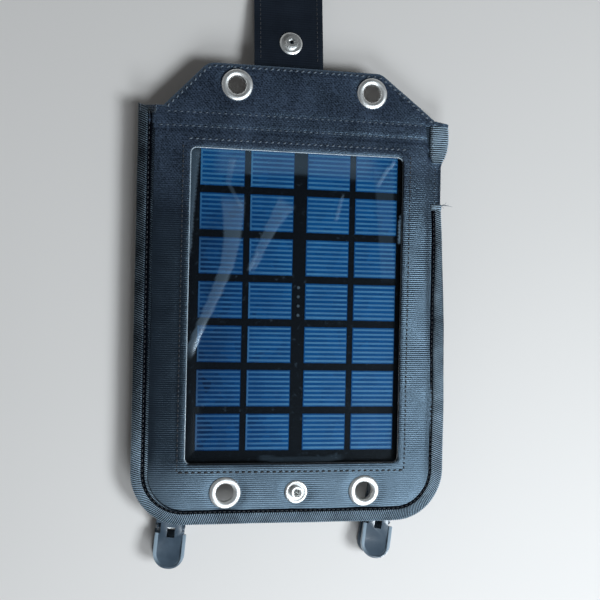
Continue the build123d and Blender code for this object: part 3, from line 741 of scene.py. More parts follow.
def cell_material():
    """Blue crystalline silicon: large soft grains that differ a little in brightness, with painted shade over the
    lower left columns.
    """
    n = Nodes("solar_cell")
    grey = n.add("ShaderNodeRGBToBW")
    n.feed(grey.inputs[0], n.grains(6.0, "Color"))
    # Grains, noise and painted shade over the lower left
    level = Value(n, grey.outputs[0]) * 0.3 + n.noise(38.0) * 0.3 + painted_cell_shade(n) * 0.5
    light = (0.55, (0.0012, 0.052, 0.165)), (0.95, (0.004, 0.098, 0.275))
    return n.surface(Base_Color=n.ramp(level, (0.15, (0.0006, 0.007, 0.030)), *light), Roughness=0.3,
                     Normal=n.bumped(n.noise(1.5), 0.01), Specular_IOR_Level=0.12)


def painted_cell_shade(n):
    """Painted shade: the cells of the left columns are darker than the others, most of all low down."""
    x, y, _ = n.axes()
    return n.math("MAXIMUM", n.step(x, -75.0, 15.0), n.step(y, 20.0, 85.0))


def board_material():
    n = Nodes("panel_black")
    speckle = n.noise(1.2, 4.0)
    colour = n.ramp(speckle, (0.3, (0.0010, 0.0018, 0.0035)), (0.8, (0.003, 0.0045, 0.0075)))
    return n.surface(Base_Color=colour, Roughness=0.42, Normal=n.bumped(speckle, 0.02),
                     Specular_IOR_Level=0.08)


def foam_material():
    n = Nodes("foam")
    pores = n.grains(0.9, "Distance")
    colour = n.ramp(pores, (0.05, (0.012, 0.013, 0.016)), (0.6, (0.05, 0.052, 0.06)))
    return n.surface(Base_Color=colour, Roughness=0.9, Normal=n.bumped(pores, 0.2))


def circuit_material():
    """Solder-masked board with faint tracks under the mask."""
    n = Nodes("green_board")
    tracks = n.add("ShaderNodeTexBrick", n.place, "Vector")
    tracks.inputs["Scale"].default_value = 0.4
    greens = {"Color1": (0.008, 0.085, 0.035), "Color2": (0.010, 0.11, 0.045), "Mortar": (0.02, 0.16, 0.07)}
    for key, green in greens.items():
        n.feed(tracks.inputs[key], green)
    return n.surface(Base_Color=Value(n, tracks.outputs["Color"]), Roughness=0.35)


def floor_material():
    n = Nodes("studio_floor")
    colour = n.ramp(n.noise(400.0, 2.0), (0.3, (0.66, 0.63, 0.605)), (0.7, (0.70, 0.665, 0.64)))
    return n.surface(Base_Color=colour, Roughness=0.6)


def lip_material():
    """Thick edge of the clear film, dark, with a milky painted highlight where the light falls on it."""
    n = Nodes("film_edge")
    cloud = n.noise(6.0, 3.0)
    # Painted highlight along the window's top and left edges
    level = n.attribute("bright") * (cloud + 0.3)
    return n.surface(Base_Color=n.ramp(level, (0.05, (0.012, 0.016, 0.02)), (0.9, (0.34, 0.41, 0.47))),
                     Roughness=0.25, Normal=n.bumped(cloud, 0.1), Coat_Weight=0.5)


def finger_material():
    """Printed silver lines, seen blue through the resin, with the same painted shade over the lower left."""
    n = Nodes("cell_fingers")
    level = n.noise(14.0, 3.0) * 0.5 + painted_cell_shade(n) * 0.5
    light = (0.5, (0.018, 0.128, 0.28)), (0.85, (0.06, 0.235, 0.41))
    return n.surface(Base_Color=n.ramp(level, (0.2, (0.005, 0.040, 0.105)), *light), Roughness=0.45,
                     Normal=n.bumped(n.noise(0.4), 0.02))


CLOTH_LOOK = cloth_material("pouch_cloth")
BACK_LOOK = webbing_material("back_cloth", CLOTH_RIB, NAVY_BLACK, NAVY_WORN, 0.5, 0.12, 0.5)
TAPE_LOOK = tape_material()
WEB_LOOK = webbing_material("webbing", 1.3, (0.004, 0.005, 0.0085), (0.0125, 0.016, 0.025), 0.4, 0.04, 0.5)
PALE_THREAD = thread_material("pale_thread", (0.05, 0.07, 0.095), (0.15, 0.19, 0.24))
DARK_THREAD = thread_material("dark_thread", (0.004, 0.005, 0.008), (0.020, 0.027, 0.038))
FILM_LOOK = film_material()
NICKEL = metal_material("nickel")
STEEL = metal_material("spring_steel")
# Pin steel is dimmed: painted shade for the dark slot it shows through
PIN_LOOK = metal_material("pin_steel", dim=0.35)
PAD_LOOK = plastic_material("tinned_pads", (0.06, 0.075, 0.09), 0.4)
BOX_LOOK = plastic_material("black_plastic", (0.012, 0.012, 0.014), 0.5, grain=0.05)
TAN_LOOK = plastic_material("component_tan", (0.32, 0.20, 0.09), 0.45)
COPPER_LOOK = plastic_material("copper", (0.55, 0.25, 0.12), 0.3)
CELL_LOOK = cell_material()
BOARD_LOOK = board_material()
RESIN_LOOK = resin_material()
FOAM_LOOK = foam_material()
CIRCUIT_LOOK = circuit_material()
LIP_LOOK = lip_material()


# ---- front cloth ----
# Rises and depths of its details
HEM_RISE = 0.30
HEM_GROOVE = 0.38
HEM_DIMPLE = 0.10
WINDOW_ROLL = 0.45
EYELET_DENT = 0.55
TAPE_DENT = 0.5
MOUTH_CREASE = 1.9
MOUTH_SEAM = 0.45


def eyelet_gap(x, y):
    """Distance outside the nearest eyelet's or snap's flange."""
    gaps = [np.hypot(x - cx, y - cy) - EYELET_FLANGE for cx, cy in EYELETS]
    gaps.append(np.hypot(x - FRONT_SNAP[0], y - FRONT_SNAP[1]) - SNAP_FLANGE)
    return np.minimum.reduce(gaps)


def side_distance(x, y):
    """Distance inside the pouch's left, right and bottom edges."""
    half_y = 300.0
    flat_x = x + waist_pull(y) * smooth(x, 60, 80)
    return -box_distance(flat_x, y, HALF_WIDTH, half_y, CORNER_RADIUS, (0.0, BOTTOM_Y + half_y))


def crown_height(x, y):
    """The cloth's broad form: highest beside the window, falling to the edge seam and the head."""
    window = window_distance(x, y)
    fall = np.clip(window / np.maximum(window + side_distance(x, y) - 3.0, 1.0), 0, 1)
    return CROWN * (1 - np.maximum(fall, smooth(y, WINDOW_Y, HEAD_TOP_Y)))


def cloth_form(x, y):
    """Height of the cloth before its seams and stitches are pressed into it."""
    slack = 0.34 * ripple(x, y, 34.0, 1.5) + 0.13 * ripple(x, y, 9.0, 4.5)
    return FRONT_Z + crown_height(x, y) + slack


def front_top(x, y):
    """Height of the front cloth's outer face."""
    window = window_distance(x, y)
    along = np.where(np.abs(y) > WINDOW_Y, x, y)
    height = cloth_form(x, y)
    # The doubled hem, its stitched groove and dimples, and its edge rolled over the film
    height += HEM_RISE * (1 - smooth(window, HEM_WIDTH, HEM_WIDTH + 1.4))
    height -= HEM_GROOVE * bump(window - HEM_WIDTH - 0.4, 0.9)
    height += HEM_DIMPLE * np.cos(2 * math.pi * along / STITCH) * bump(window - HEM_WIDTH, 2.2)
    height -= WINDOW_ROLL * bump(window, 0.8)
    # Pressed down round the eyelets and under the edge tape
    height -= EYELET_DENT * bump(np.maximum(eyelet_gap(x, y), 0), 2.4)
    height -= TAPE_DENT * (1 - smooth(side_distance(x, y), 7.0, 12.0))
    # The crease above the mouth, wider towards its top, and the seam of the mouth's hem
    opening = np.clip((y - MOUTH_HIGH_Y - 2.0) / 16.0, 0, 1)
    across = (x - 74.3 + 1.9 * opening) / (0.5 + 1.6 * opening)
    height -= MOUTH_CREASE * bump(across, 1.0) * smooth(y, 82.5, 86.0)
    fold = bump((x - MOUTH_HEM_X) / 0.7, 1.0) * smooth(y, MOUTH_LOW_Y - 3, MOUTH_LOW_Y + 1)
    fold *= 1 - smooth(y, 80, 84)
    return height - MOUTH_SEAM * fold


def sewn(length, share):
    """Works out the area of a full-width piece of cloth, which nothing uses; share is how much of its box is
    cloth.
    """
    flat = (2 * HALF_WIDTH * MM, length * MM)
    flat[0] * flat[1] * share


def add_front_cloth():
    """The window's frame of cloth, from under the head piece down to the bottom seam."""
    inset = EDGE_TAPE + CLEARANCE
    top = YOKE_Y + 3.0
    side = HALF_WIDTH - inset
    outline = lower_outline(inset) + [(side, top), (-side, top)]
    holes = [window_outline()] + [circle(x, y, EYELET_HOLE) for x, y in EYELETS if y < 0]
    holes.append(circle(*FRONT_SNAP, SNAP_HOLE, 20))
    flat, triangles = cut_sheet(outline, 2.0, holes)
    flat[:, 0] = waisted(*flat.T)
    x, y = flat.T
    height = front_top(x, y) - 0.9 * smooth(y, YOKE_Y + 0.3, YOKE_Y + 1.6)
    thickness = 0.55 + 0.5 * (1 - smooth(window_distance(x, y), HEM_WIDTH, HEM_WIDTH + 1.2))
    shape = thick_sheet(flat, triangles, height, height - thickness)
    obj = add_piece("front_cloth", shape, CLOTH_LOOK, stands_for=["front_panel"])
    sewn(top - BOTTOM_Y, 0.44)


# ---- head piece ----
HEAD_RIM = head_outline(0.4)
HEAD_ROLL = 0.9  # depths and rise of its details
RIM_GROOVE = 0.32
SEAM_DENT = 0.2
HEAD_DENT = 0.5
HEAD_ARCH = 0.55
YOKE_SEAMS = (2.0, 9.4)  # heights above YOKE_Y of the two seams across the head's foot


def head_top(x, y):
    """Height of the head piece's outer face, rounded down along its turned edges."""
    gap, along = chain_distance(x, y, HEAD_RIM)
    height = cloth_form(x, y) + 0.22 + 0.25 * smooth(y, YOKE_Y, YOKE_Y + 4)
    # The turned edge and the stitched groove inside it
    height -= HEAD_ROLL * bump(gap, 0.75)
    height -= RIM_GROOVE * bump(gap - 2.2, 0.95) * (1 + 0.35 * np.cos(2 * math.pi * along / STITCH))
    for shift in YOKE_SEAMS:
        dimples = 1 + 0.7 * np.cos(2 * math.pi * x / STITCH)
        height -= SEAM_DENT * bump(y - YOKE_Y - shift, 0.7) * dimples
    height -= HEAD_DENT * bump(np.maximum(eyelet_gap(x, y), 0), 2.2)
    # Arched middle, lowered left end and raised right end
    height += HEAD_ARCH * smooth(y, YOKE_Y + 4, YOKE_Y + 14) * np.cos(x / 38.0)
    return height - 0.5 * smooth(-x, 76.0, 82.0) + 0.5 * smooth(x, 74.0, 79.0)


def add_head_cloth():
    side = HALF_WIDTH - EDGE_TAPE - CLEARANCE
    outline = [(-side, YOKE_Y), (72.6, YOKE_Y), (71.6, YOKE_Y + 6.0), (71.2, SHOULDER_Y - 4.0)]
    # The lower right corner is cut away for the tape above the mouth
    outline += [(74.5, SHOULDER_Y - 3.0), (84.2, SHOULDER_Y - 3.4), (84.6, SHOULDER_Y - 1.9)]
    outline += HEAD_RIM + [(-side, SHOULDER_Y - 1.0)]
    holes = [circle(x, y, EYELET_HOLE) for x, y in EYELETS if y > 0]
    flat, triangles = cut_sheet(outline, 1.2, holes, 1.4)
    x, y = flat.T
    height = head_top(x, y)
    thickness = 0.28 + 0.47 * smooth(y, YOKE_Y, YOKE_Y + 3)
    shape = thick_sheet(flat, triangles, height, height - thickness)
    obj = add_piece("head_cloth", shape, CLOTH_LOOK, stands_for=["head_yoke"])
    gap, _ = chain_distance(x, y, HEAD_RIM)
    # Painted highlight along the turned edge, strongest at the rim
    paint(obj, "painted_edge_highlight", np.tile(bump(gap, 0.9), 2))
    sewn(HEAD_TOP_Y - YOKE_Y, 0.74)


# ---- back ----
POCKET_LOW, POCKET_HIGH = limits("back_pocket")
POCKET_CENTRE = ((POCKET_LOW[0] + POCKET_HIGH[0]) / 2, (POCKET_LOW[1] + POCKET_HIGH[1]) / 2)
POCKET_HALF = ((POCKET_HIGH[0] - POCKET_LOW[0]) / 2, (POCKET_HIGH[1] - POCKET_LOW[1]) / 2)
POCKET_SLOPE = (14.0, 12.0)  # how far the pocket's foot is inside its rim, in X and Y
SAG_Z = limits("back_rim")[0][2]


def mouth_sag(y):
    """Height of the back edge at the cable mouth."""
    half = (MOUTH_HIGH_Y - MOUTH_LOW_Y) / 2
    middle = (MOUTH_HIGH_Y + MOUTH_LOW_Y) / 2
    return SAG_Z + (RIM_Z - SAG_Z) * smooth(np.abs(y - middle), half * 0.35, half * 1.02)


def back_face(x, y):
    """Height of the back's outer face: flat at the edge, a shallow tray in the middle."""
    cx, cy = POCKET_CENTRE
    foot_x, foot_y = POCKET_HALF[0] - POCKET_SLOPE[0], POCKET_HALF[1] - POCKET_SLOPE[1]
    foot = box_distance(x, y, foot_x, foot_y, 9.0, (cx, cy))
    rim = box_distance(x, y, POCKET_HALF[0], POCKET_HALF[1], 18.0, (cx, cy))
    rise = np.clip(foot / np.maximum(foot - rim, 1e-6), 0, 1)
    rise = np.where(rim > 0, 1.0, np.where(foot < 0, 0.0, rise))
    corner = np.minimum(np.abs(x - cx) - foot_x, np.abs(y - cy) - foot_y)
    turn = np.arctan2(np.abs(y - cy) - foot_y + 8, np.abs(x - cx) - foot_x + 8)
    pleats = 0.55 * np.sin(13 * turn) * smooth(corner, -14, 2) * 4 * rise * (1 - rise)
    height = RIM_Z * (0.55 * rise + 0.45 * smooth(rise, 0, 1)) + pleats
    height += 0.5 * (ripple(x, y, 26.0, 2.5) + 0.6) * 4 * rise * (1 - rise)
    height += 0.16 * np.maximum(ripple(x, y, 30.0, 6.5), 0) * (1 - rise)
    sagging = np.minimum(height, mouth_sag(y))
    return np.where(x > 55, sagging, height) - 0.2 * bump(rim - 2.2, 0.8)


def add_back_cloth():
    inset = EDGE_TAPE + 0.3
    side = HALF_WIDTH - inset
    outline = lower_outline(inset) + [(side, SHOULDER_Y - 1.2)]
    outline += head_outline(0.9) + [(-side, SHOULDER_Y - 1.2)]
    holes = [circle(x, y, EYELET_HOLE) for x, y in EYELETS] + [circle(*FRONT_SNAP, SNAP_HOLE, 20)]
    flat, triangles = cut_sheet(outline, 2.2, holes, 2.0)
    flat[:, 0] = waisted(*flat.T)
    outer = np.maximum(back_face(*flat.T), 0.03)
    shape = thick_sheet(flat, triangles, outer + CLOTH * 0.85, outer)
    obj = add_piece("back_cloth", shape, BACK_LOOK, stands_for=["back_rim", "back_pocket"])
    sewn(HEAD_TOP_Y - BOTTOM_Y, 0.93)


# ---- stitches ----
def point_at(chain, lengths, s):
    """Place and direction at a length along a chain."""
    i = min(max(int(np.searchsorted(lengths, s)) - 1, 0), len(chain) - 2)
    (x0, y0), (x1, y1) = chain[i], chain[i + 1]
    span = max(math.hypot(x1 - x0, y1 - y0), 1e-9)
    t = (s - lengths[i]) / span
    return x0 + (x1 - x0) * t, y0 + (y1 - y0) * t, (x1 - x0) / span, (y1 - y0) / span


def chain_lengths(chain):
    steps = [math.hypot(b[0] - a[0], b[1] - a[1]) for a, b in zip(chain[:-1], chain[1:])]
    return np.concatenate([[0], np.cumsum(steps)])


def stitch_row(chain, height, pitch, share, radius, slant=0.0, outward=1):
    """Threads along a chain: each one comes up out of the cloth and goes back into it."""
    lengths = chain_lengths(chain)
    count = max(1, int(lengths[-1] / pitch))
    gap = lengths[-1] / count
    steps = np.linspace(-0.5, 0.5, 7)
    lean = math.radians(slant)
    places = []
    for i in range(count):
        x, y, dx, dy = point_at(chain, lengths, gap * (i + 0.5))
        tx = dx * math.cos(lean) - dy * math.sin(lean)
        ty = dx * math.sin(lean) + dy * math.cos(lean)
        places.append([(x + tx * gap * share * t, y + ty * gap * share * t) for t in steps])
    flat = np.array(places).reshape(-1, 2)
    base = height(flat[:, 0], flat[:, 1]).reshape(count, len(steps))
    flat = flat.reshape(count, len(steps), 2)
    arch = radius * (1.5 - 9.0 * steps**2 * (1 + 2 * steps**2))
    parts = []
    for spot, z in zip(flat, base):
        level = z.mean() * 0.5 + z * 0.5
        path = np.column_stack([spot, level + outward * (arch - radius * 0.55)])
        parts.append(tube(path, radius))
    return merged(parts)


def add_stitches(name, rows, material, body="pouch"):
    add_piece(name, merged(rows), material, body, sharp=80)


def add_front_stitches():
    """The rows round the window, across the head piece's foot and round the head."""
    half_x, half_y = WINDOW_X + HEM_WIDTH, WINDOW_Y + HEM_WIDTH + 0.6
    top_line = [(2 - half_x, half_y), (half_x - 2, half_y)]
    low_line = [(half_x, -half_y), (-half_x, -half_y)]
    top_row = stitch_row(top_line, front_top, STITCH, share=0.55, radius=0.42, slant=20)
    rim_row = stitch_row(head_outline(2.3), head_top, STITCH, share=0.52, radius=0.42, slant=24)
    add_stitches("head_stitches", [top_row, rim_row], PALE_THREAD)
    seams = ((YOKE_Y + YOKE_SEAMS[1], -72.0, 70.0), (YOKE_Y + YOKE_SEAMS[0], -76.0, 71.0))
    cross_rows = [stitch_row([(start, y), (end, y)], head_top, STITCH, share=0.5, radius=0.26, slant=10)
                  for y, start, end in seams]
    add_stitches("cross_stitches", cross_rows, PALE_THREAD)
    window_rows = [stitch_row(low_line, front_top, STITCH, share=0.66, radius=0.42, slant=8)]
    for x in (-half_x - 0.2, half_x + 0.2):
        line = [(x, half_y - 3), (x, -half_y)]
        window_rows.append(stitch_row(line, front_top, FINE_STITCH, share=0.66, radius=0.34, slant=12))
    add_stitches("window_stitches", window_rows, DARK_THREAD)


# ---- edge tape ----
RIB = 1.15  # pitch of the tape's ribs
RIB_DEPTH = 0.32
RIB_STEPS = 4
RIB_LEAN = 0.42  # how far a rib leans along the edge for each millimetre across the tape
TAPE_TOP = FRONT_Z + 0.62
TAPE_LOW = RIM_Z - 0.62
TAPE_MIDDLE = (TAPE_TOP + TAPE_LOW) / 2


def tape_route():
    """The edge from the left shoulder round to the mouth: lengths, places and outward directions."""
    outline = [(-HALF_WIDTH, SHOULDER_Y)] + lower_outline(0) + [(HALF_WIDTH, MOUTH_LOW_Y)]
    outline = divided(outline, 1.0, closed=False)
    x, y = np.array(outline).T
    x = waisted(x, y)
    s = np.concatenate([[0], np.cumsum(np.hypot(np.diff(x), np.diff(y)))])
    normals = np.column_stack([np.gradient(y, s), -np.gradient(x, s)])
    return s, x, y, *unit(averaged(normals, 9)).T


ROUTE = tape_route()
ROUTE_LENGTH = float(ROUTE[0][-1])


def along_tape(s, low, high):
    """Smooth step between two shares of the tape's length."""
    return smooth(s, low * ROUTE_LENGTH, high * ROUTE_LENGTH)


def tape_place(s, inset):
    """Points on the tape a length along the edge and a distance in from it."""
    lengths, xs, ys, nxs, nys = ROUTE
    x, y = np.interp(s, lengths, xs), np.interp(s, lengths, ys)
    return x - np.interp(s, lengths, nxs) * inset, y - np.interp(s, lengths, nys) * inset


def tape_width(s):
    """Width of the tape's front face, and the inset of its stitch groove."""
    t = s / ROUTE_LENGTH
    width = 9.1 - 1.4 * smooth(t, 0.33, 0.45) + 0.9 * smooth(t, 0.62, 0.74) - 3.0 * smooth(t, 0.84, 1.0)
    groove = 5.9 + (width - 0.9 - 5.9) * smooth(t, 0.36, 0.46)
    return width, groove


def tape_section(s):
    """Insets, heights and rib shares of the tape's outer face from front edge to back edge; the shares also set
    the painted light, low in the stitch groove for painted shade.
    """
    width, groove = tape_width(s)
    inner = np.maximum(width - groove, 0.9)
    low_band = smooth(inner, 0.9, 2.0)
    one = np.ones(len(s))
    front = [
        (width, TAPE_TOP - 0.55, 0.1),
        (width - 0.35, TAPE_TOP - 0.25 + 0.15 * low_band, 0.5 * low_band),
        (groove + inner * 0.5, TAPE_TOP - 0.3 + 0.35 * low_band, 0.75 * low_band),
        (groove + 0.25 * inner, TAPE_TOP - 0.4 + 0.25 * low_band, 0.2),
        (groove, TAPE_TOP - 0.5, 0.0),
        (groove - 0.55, TAPE_TOP - 0.35, 0.12),
        (groove - 1.0, TAPE_TOP + 0.05, 0.9),
        (groove - 2.2, TAPE_TOP + 0.2, 1.0),
        (2.3, TAPE_TOP + 0.18, 1.0),
        (1.0, TAPE_TOP - 0.12, 1.0),
        (0.3, TAPE_TOP - 0.62, 1.0),
    ]
    insets, heights, shares = ([value * one for value in column] for column in zip(*front))
    insets += [0.0 * one] + insets[::-1]
    heights += [TAPE_MIDDLE * one] + [2 * TAPE_MIDDLE - z for z in heights[::-1]]
    shares += [one] + shares[::-1]
    return np.array(insets).T, np.array(heights).T, np.array(shares).T


def add_tape(name, shape, sharp, stands_for=()):
    return add_piece(name, shape, TAPE_LOOK, stands_for=stands_for, sharp=sharp)


def add_edge_tape():
    """Ribbed tape folded over the edge: slanting ribs, a stitch groove and a soft turned edge."""
    count = round(ROUTE_LENGTH / RIB) * RIB_STEPS
    s = np.linspace(0, ROUTE_LENGTH, count + 1)
    insets, heights, shares = tape_section(s)
    phase = np.cos(2 * math.pi * np.arange(count + 1) / RIB_STEPS)[:, None]
    strong = 0.35 + 0.65 * (1 - along_tape(s, 0.74, 0.82))
    strong = np.maximum(strong, along_tape(s, 0.93, 0.97))[:, None]
    wave = ripple(s, np.zeros(len(s)), 22.0, 7.5)[:, None]
    front = heights > TAPE_MIDDLE
    rib = RIB_DEPTH * phase * shares * strong
    reach = insets - rib * (insets < 1.2) * 0.7 + 0.2 * wave * (insets < 2)
    x, y = tape_place(s[:, None] + RIB_LEAN * insets, reach)
    z = heights + np.where(front, rib, -rib) * (insets > 0.2) + 0.1 * wave
    sides = 0.5 * (np.abs(heights - TAPE_MIDDLE) > 0.3)
    ix, iy = tape_place(s[:, None] + RIB_LEAN * insets, insets + 0.55 * (insets < 1))
    iz = z - np.where(front, sides, -sides)
    outer = np.stack([x, y, z], axis=2)
    inner = np.stack([ix, iy, iz], axis=2)[:, ::-1]
    rings = np.concatenate([outer, inner], axis=1)
    obj = add_tape("edge_tape", swept(list(rings)), 80, stands_for=["edge_binding"])
    # Painted light and wear along the tape: brightest along the bottom, which faces the light
    painted_light_and_wear = (0.50 + 0.70 * along_tape(s, 0.22, 0.38) - 0.36 * along_tape(s, 0.68, 0.84))[:, None]
    # Painted highlight on each rib's crest, painted shade in its valleys and in the stitch groove
    shade = shares * (0.5 + 0.5 * phase * strong) * painted_light_and_wear
    paint(obj, "rib", np.concatenate([shade, 0 * shade], axis=1).ravel())


def level_face(z):
    """A height for stitch_row that is the same everywhere."""
    return lambda x, y: np.full(len(x), z)


def add_tape_stitches():
    s = np.linspace(1.0, ROUTE_LENGTH - 1.0, 300)
    chain = list(zip(*tape_place(s, tape_width(s)[1])))
    rows = [stitch_row(chain, level_face(TAPE_TOP - 0.42), FINE_STITCH, share=0.6, radius=0.24),
            stitch_row(chain, level_face(TAPE_LOW + 0.42), FINE_STITCH, share=0.6, radius=0.24, outward=-1)]
    add_stitches("tape_stitches", rows, DARK_THREAD)


RING = 28  # points round a folded tape


def rounded_ring(x0, x1, y, z0, z1, count=RING):
    """A rounded rectangle in X and Z."""
    ring = []
    for k in range(count):
        c, s = math.cos(2 * math.pi * k / count), math.sin(2 * math.pi * k / count)
        x = (x0 + x1) / 2 + (x1 - x0) / 2 * math.copysign(abs(c) ** 0.6, c)
        z = (z0 + z1) / 2 + (z1 - z0) / 2 * math.copysign(abs(s) ** 0.55, s)
        ring.append((x, y, z))
    return ring


BARTACK_TURNS = 22
FOLD_STEPS = 12
FOLD_RING = 20
# Reach, rise and drop of each loose thread at the tape's right end
LOOSE_THREADS = ((7.0, 1.4, -0.6), (5.2, 0.8, 0.5), (3.4, 1.6, 1.7), (2.6, -0.6, -1.6))


def add_tape_ends():
    """Bartack at the tape's left end, folded end and loose threads at its right end."""
    add_left_bartack()
    outer = float(waisted(np.array([HALF_WIDTH]), np.array([MOUTH_LOW_Y]))[0])
    add_end_fold(outer)
    threads = []
    for reach, rise, drop in LOOSE_THREADS:
        start = np.array([outer - 0.6, MOUTH_LOW_Y + 0.1, FRONT_Z])
        path = [start + np.array([reach * t, drop * t * t, rise * math.sin(2.4 * t)])
                for t in np.linspace(0, 1, 9)]
        threads.append(tube(path, np.linspace(0.2, 0.07, 9), 5))
    add_stitches("frayed_threads", threads, PALE_THREAD)


def add_left_bartack():
    """Two zigzags of thread that tie down the tape's left end."""
    zigzag = []
    for i in range(BARTACK_TURNS + 1):
        x = -HALF_WIDTH + 0.9 + 8.4 * i / BARTACK_TURNS
        zigzag.append((x, SHOULDER_Y - 0.5 - 2.3 * (i % 2), FRONT_Z + 0.95))
    second = [(x, y - 2.1, z - 0.05) for x, y, z in zigzag]
    add_stitches("left_bartack", [tube(zigzag, 0.28), tube(second, 0.28)], PALE_THREAD)


def add_end_fold(outer):
    """The tape's right end, folded under in a lump whose outer face is at outer."""
    fold, shades = [], []
    for i in range(FOLD_STEPS + 1):
        t = i / FOLD_STEPS
        crest = math.cos(2 * math.pi * 3.2 * t / RIB)
        swell = 0.45 * math.sin(math.pi * t)
        lump = 0.12 * crest
        y = MOUTH_LOW_Y - 2.6 + 3.2 * t
        right = outer + 0.1 + swell * 0.4 + lump
        low, high = TAPE_LOW - swell - lump, TAPE_TOP + swell + lump
        fold.append(rounded_ring(outer - 6.2, right, y, low, high, FOLD_RING))
        # Painted highlight on each rib's crest, painted shade in its valley
        shades += [0.5 + 0.5 * crest] * FOLD_RING
    paint(add_tape("tape_end_fold", swept(fold), 70), "rib", shades)


# Outer edge of the tape above the mouth, as heights up the pouch and X values
MOUTH_TAPE_EDGE = ((82.0, 81.4), (85.0, 83.1), (89.0, 84.4), (93.0, 85.0),
                   (98.0, 85.1), (102.0, 84.7), (104.2, 84.0))


def add_mouth_tape():
    """The piece of tape above the mouth: it stands off the head, bulges out and is ribbed across."""
    low, high = MOUTH_TAPE_EDGE[0][0], MOUTH_TAPE_EDGE[-1][0]
    heights, edges = zip(*MOUTH_TAPE_EDGE)
    steps = round((high - low) / RIB) * RIB_STEPS
    sections, shades = [], []
    for i in range(steps + 1):
        t = i / steps
        y = low + (high - low) * t
        phase = math.cos(2 * math.pi * i / RIB_STEPS)
        rib = RIB_DEPTH * phase
        outer = float(np.interp(y, heights, edges)) + rib
        inner = 75.6 - 1.2 * float(smooth(t, 0.0, 0.25))
        rise = 0.55 + 0.6 * math.sin(math.pi * min(1.0, 0.15 + 0.8 * t))
        rise -= 0.7 * float(smooth(t, 0.88, 1.0))
        top = FRONT_Z + rise + rib
        sections.append(rounded_ring(inner, outer, y, 2 * TAPE_MIDDLE - top, top))
        # Painted highlight on each rib's crest, painted shade in its valley
        shades += [0.55 + 0.45 * phase] * RING
    paint(add_tape("mouth_tape", swept(sections), 75, stands_for=["upper_binding"]), "rib", shades)
    line = [(75.4, low + 3), (75.4, high - 2)]
    row = stitch_row(line, level_face(FRONT_Z + 1.0), FINE_STITCH, share=0.6, radius=0.26)
    add_stitches("mouth_tape_stitches", [row], PALE_THREAD)


def add_mouth_hems():
    """Turned edges of the front and back cloth at the cable mouth."""
    ys = np.linspace(MOUTH_LOW_Y + 0.2, MOUTH_HIGH_Y + 1.5, 30)
    xs = waisted(np.full(30, HALF_WIDTH - 0.9), ys)
    front_line = np.column_stack([xs, ys, front_top(xs, ys) - 0.5])
    back_line = np.column_stack([xs - 0.4, ys, mouth_sag(ys) + 0.35])
    hems = merged([tube(front_line, 0.75, 10), tube(back_line, 0.8, 10)])
    add_piece("mouth_hems", hems, CLOTH_LOOK, sharp=80)
    line = [(MOUTH_HEM_X, MOUTH_LOW_Y + 1), (MOUTH_HEM_X, MOUTH_HIGH_Y)]
    row = stitch_row(line, front_top, 2.4, share=0.6, radius=0.28)
    add_stitches("mouth_hem_stitches", [row], DARK_THREAD)


# ---- window film ----
# Creases: points along each, rise, half-width at its start and end, and haze, partly painted glare; the last one,
# a broad band along the top, carries a painted reflection
CREASES = [
    ([(-35.5, 61), (-34.8, 50), (-35.2, 36), (-37.6, 22), (-43.6, 6), (-49.5, -7), (-55, -20), (-58.6, -30)],
     0.22, 7.2, 2.5, 0.095),
    ([(-5, 58), (-10, 50), (-15.5, 40), (-21, 28), (-25.5, 18)], 0.2, 5.8, 2.4, 0.085),
    ([(54.5, 82), (49.5, 76), (44.5, 67)], 0.18, 0.8, 1.2, 0.13),
    ([(25.5, 63), (23.5, 56), (21.5, 47)], 0.15, 0.7, 1.0, 0.10),
    ([(58.4, 53), (57.8, 44), (57.6, 36)], 0.3, 0.9, 0.9, 0.28),
    ([(-57, 86), (-57.2, 60), (-57.8, 40), (-58.6, 24)], 0.3, 4.6, 1.2, 0.085),
    ([(-21, 30), (-26, 19)], 0.15, 0.6, 0.9, 0.10),
    ([(-20, -81), (4, -82.5), (30, -81)], 0.15, 1.6, 1.6, 0.03),
    ([(48, 80), (49, 60), (50, 38), (52, 14)], 0.12, 6.5, 4.0, 0.035),
    ([(-36, 80), (-38, 66), (-30, 52)], 0.15, 2.2, 1.2, 0.05),
    # Broad band along the top: painted reflection where the film bends up
    ([(-48, 82), (0, 84), (48, 82)], 0.1, 12.5, 12.5, 0.055),
]


FILM_UNDER = 2.6  # how far the film reaches under the cloth on each side


def add_film():
    """The clear window, sewn under the cloth and creased in flat facets where it has been bent."""
    flat, triangles = cut_sheet(window_outline(FILM_UNDER), 1.1)
    x, y = flat.T
    window = -window_distance(x, y)
    height = RESIN_Z + 0.35 + (SEAM_Z + WINDOW_LIFT - RESIN_Z - 0.35) * (1 - smooth(window, -1.0, 11.5))
    haze_and_painted_glare = np.zeros(len(x))
    for chain, rise, wide_start, wide_end, cloud in CREASES:
        gap, along = chain_distance(x, y, chain)
        t = along / chain_lengths(chain)[-1]
        width = wide_end + (wide_start - wide_end) * (1 - t) ** 2.4
        ends = smooth(t, 0, 0.08) * (1 - smooth(t, 0.88, 1.0))
        height += rise * (1 - smooth(gap, width * 0.2, width * 1.15)) * ends
        # Haze along each crease, partly painted glare where the crease catches the light
        haze_and_painted_glare += cloud * (1 - smooth(gap, width * 0.84, width * 1.04)) * ends
    height += 0.2 * (ripple(x, y, 21.0, 5.5) + 0.5) * smooth(window, 0, 12)
    shape = thick_sheet(flat, triangles, height + 0.16, height - 0.14)
    obj = add_piece("window_pane", shape, FILM_LOOK, stands_for=["window_film"])
    paint(obj, "haze_and_painted_glare", np.concatenate([haze_and_painted_glare, haze_and_painted_glare * 0.3]))


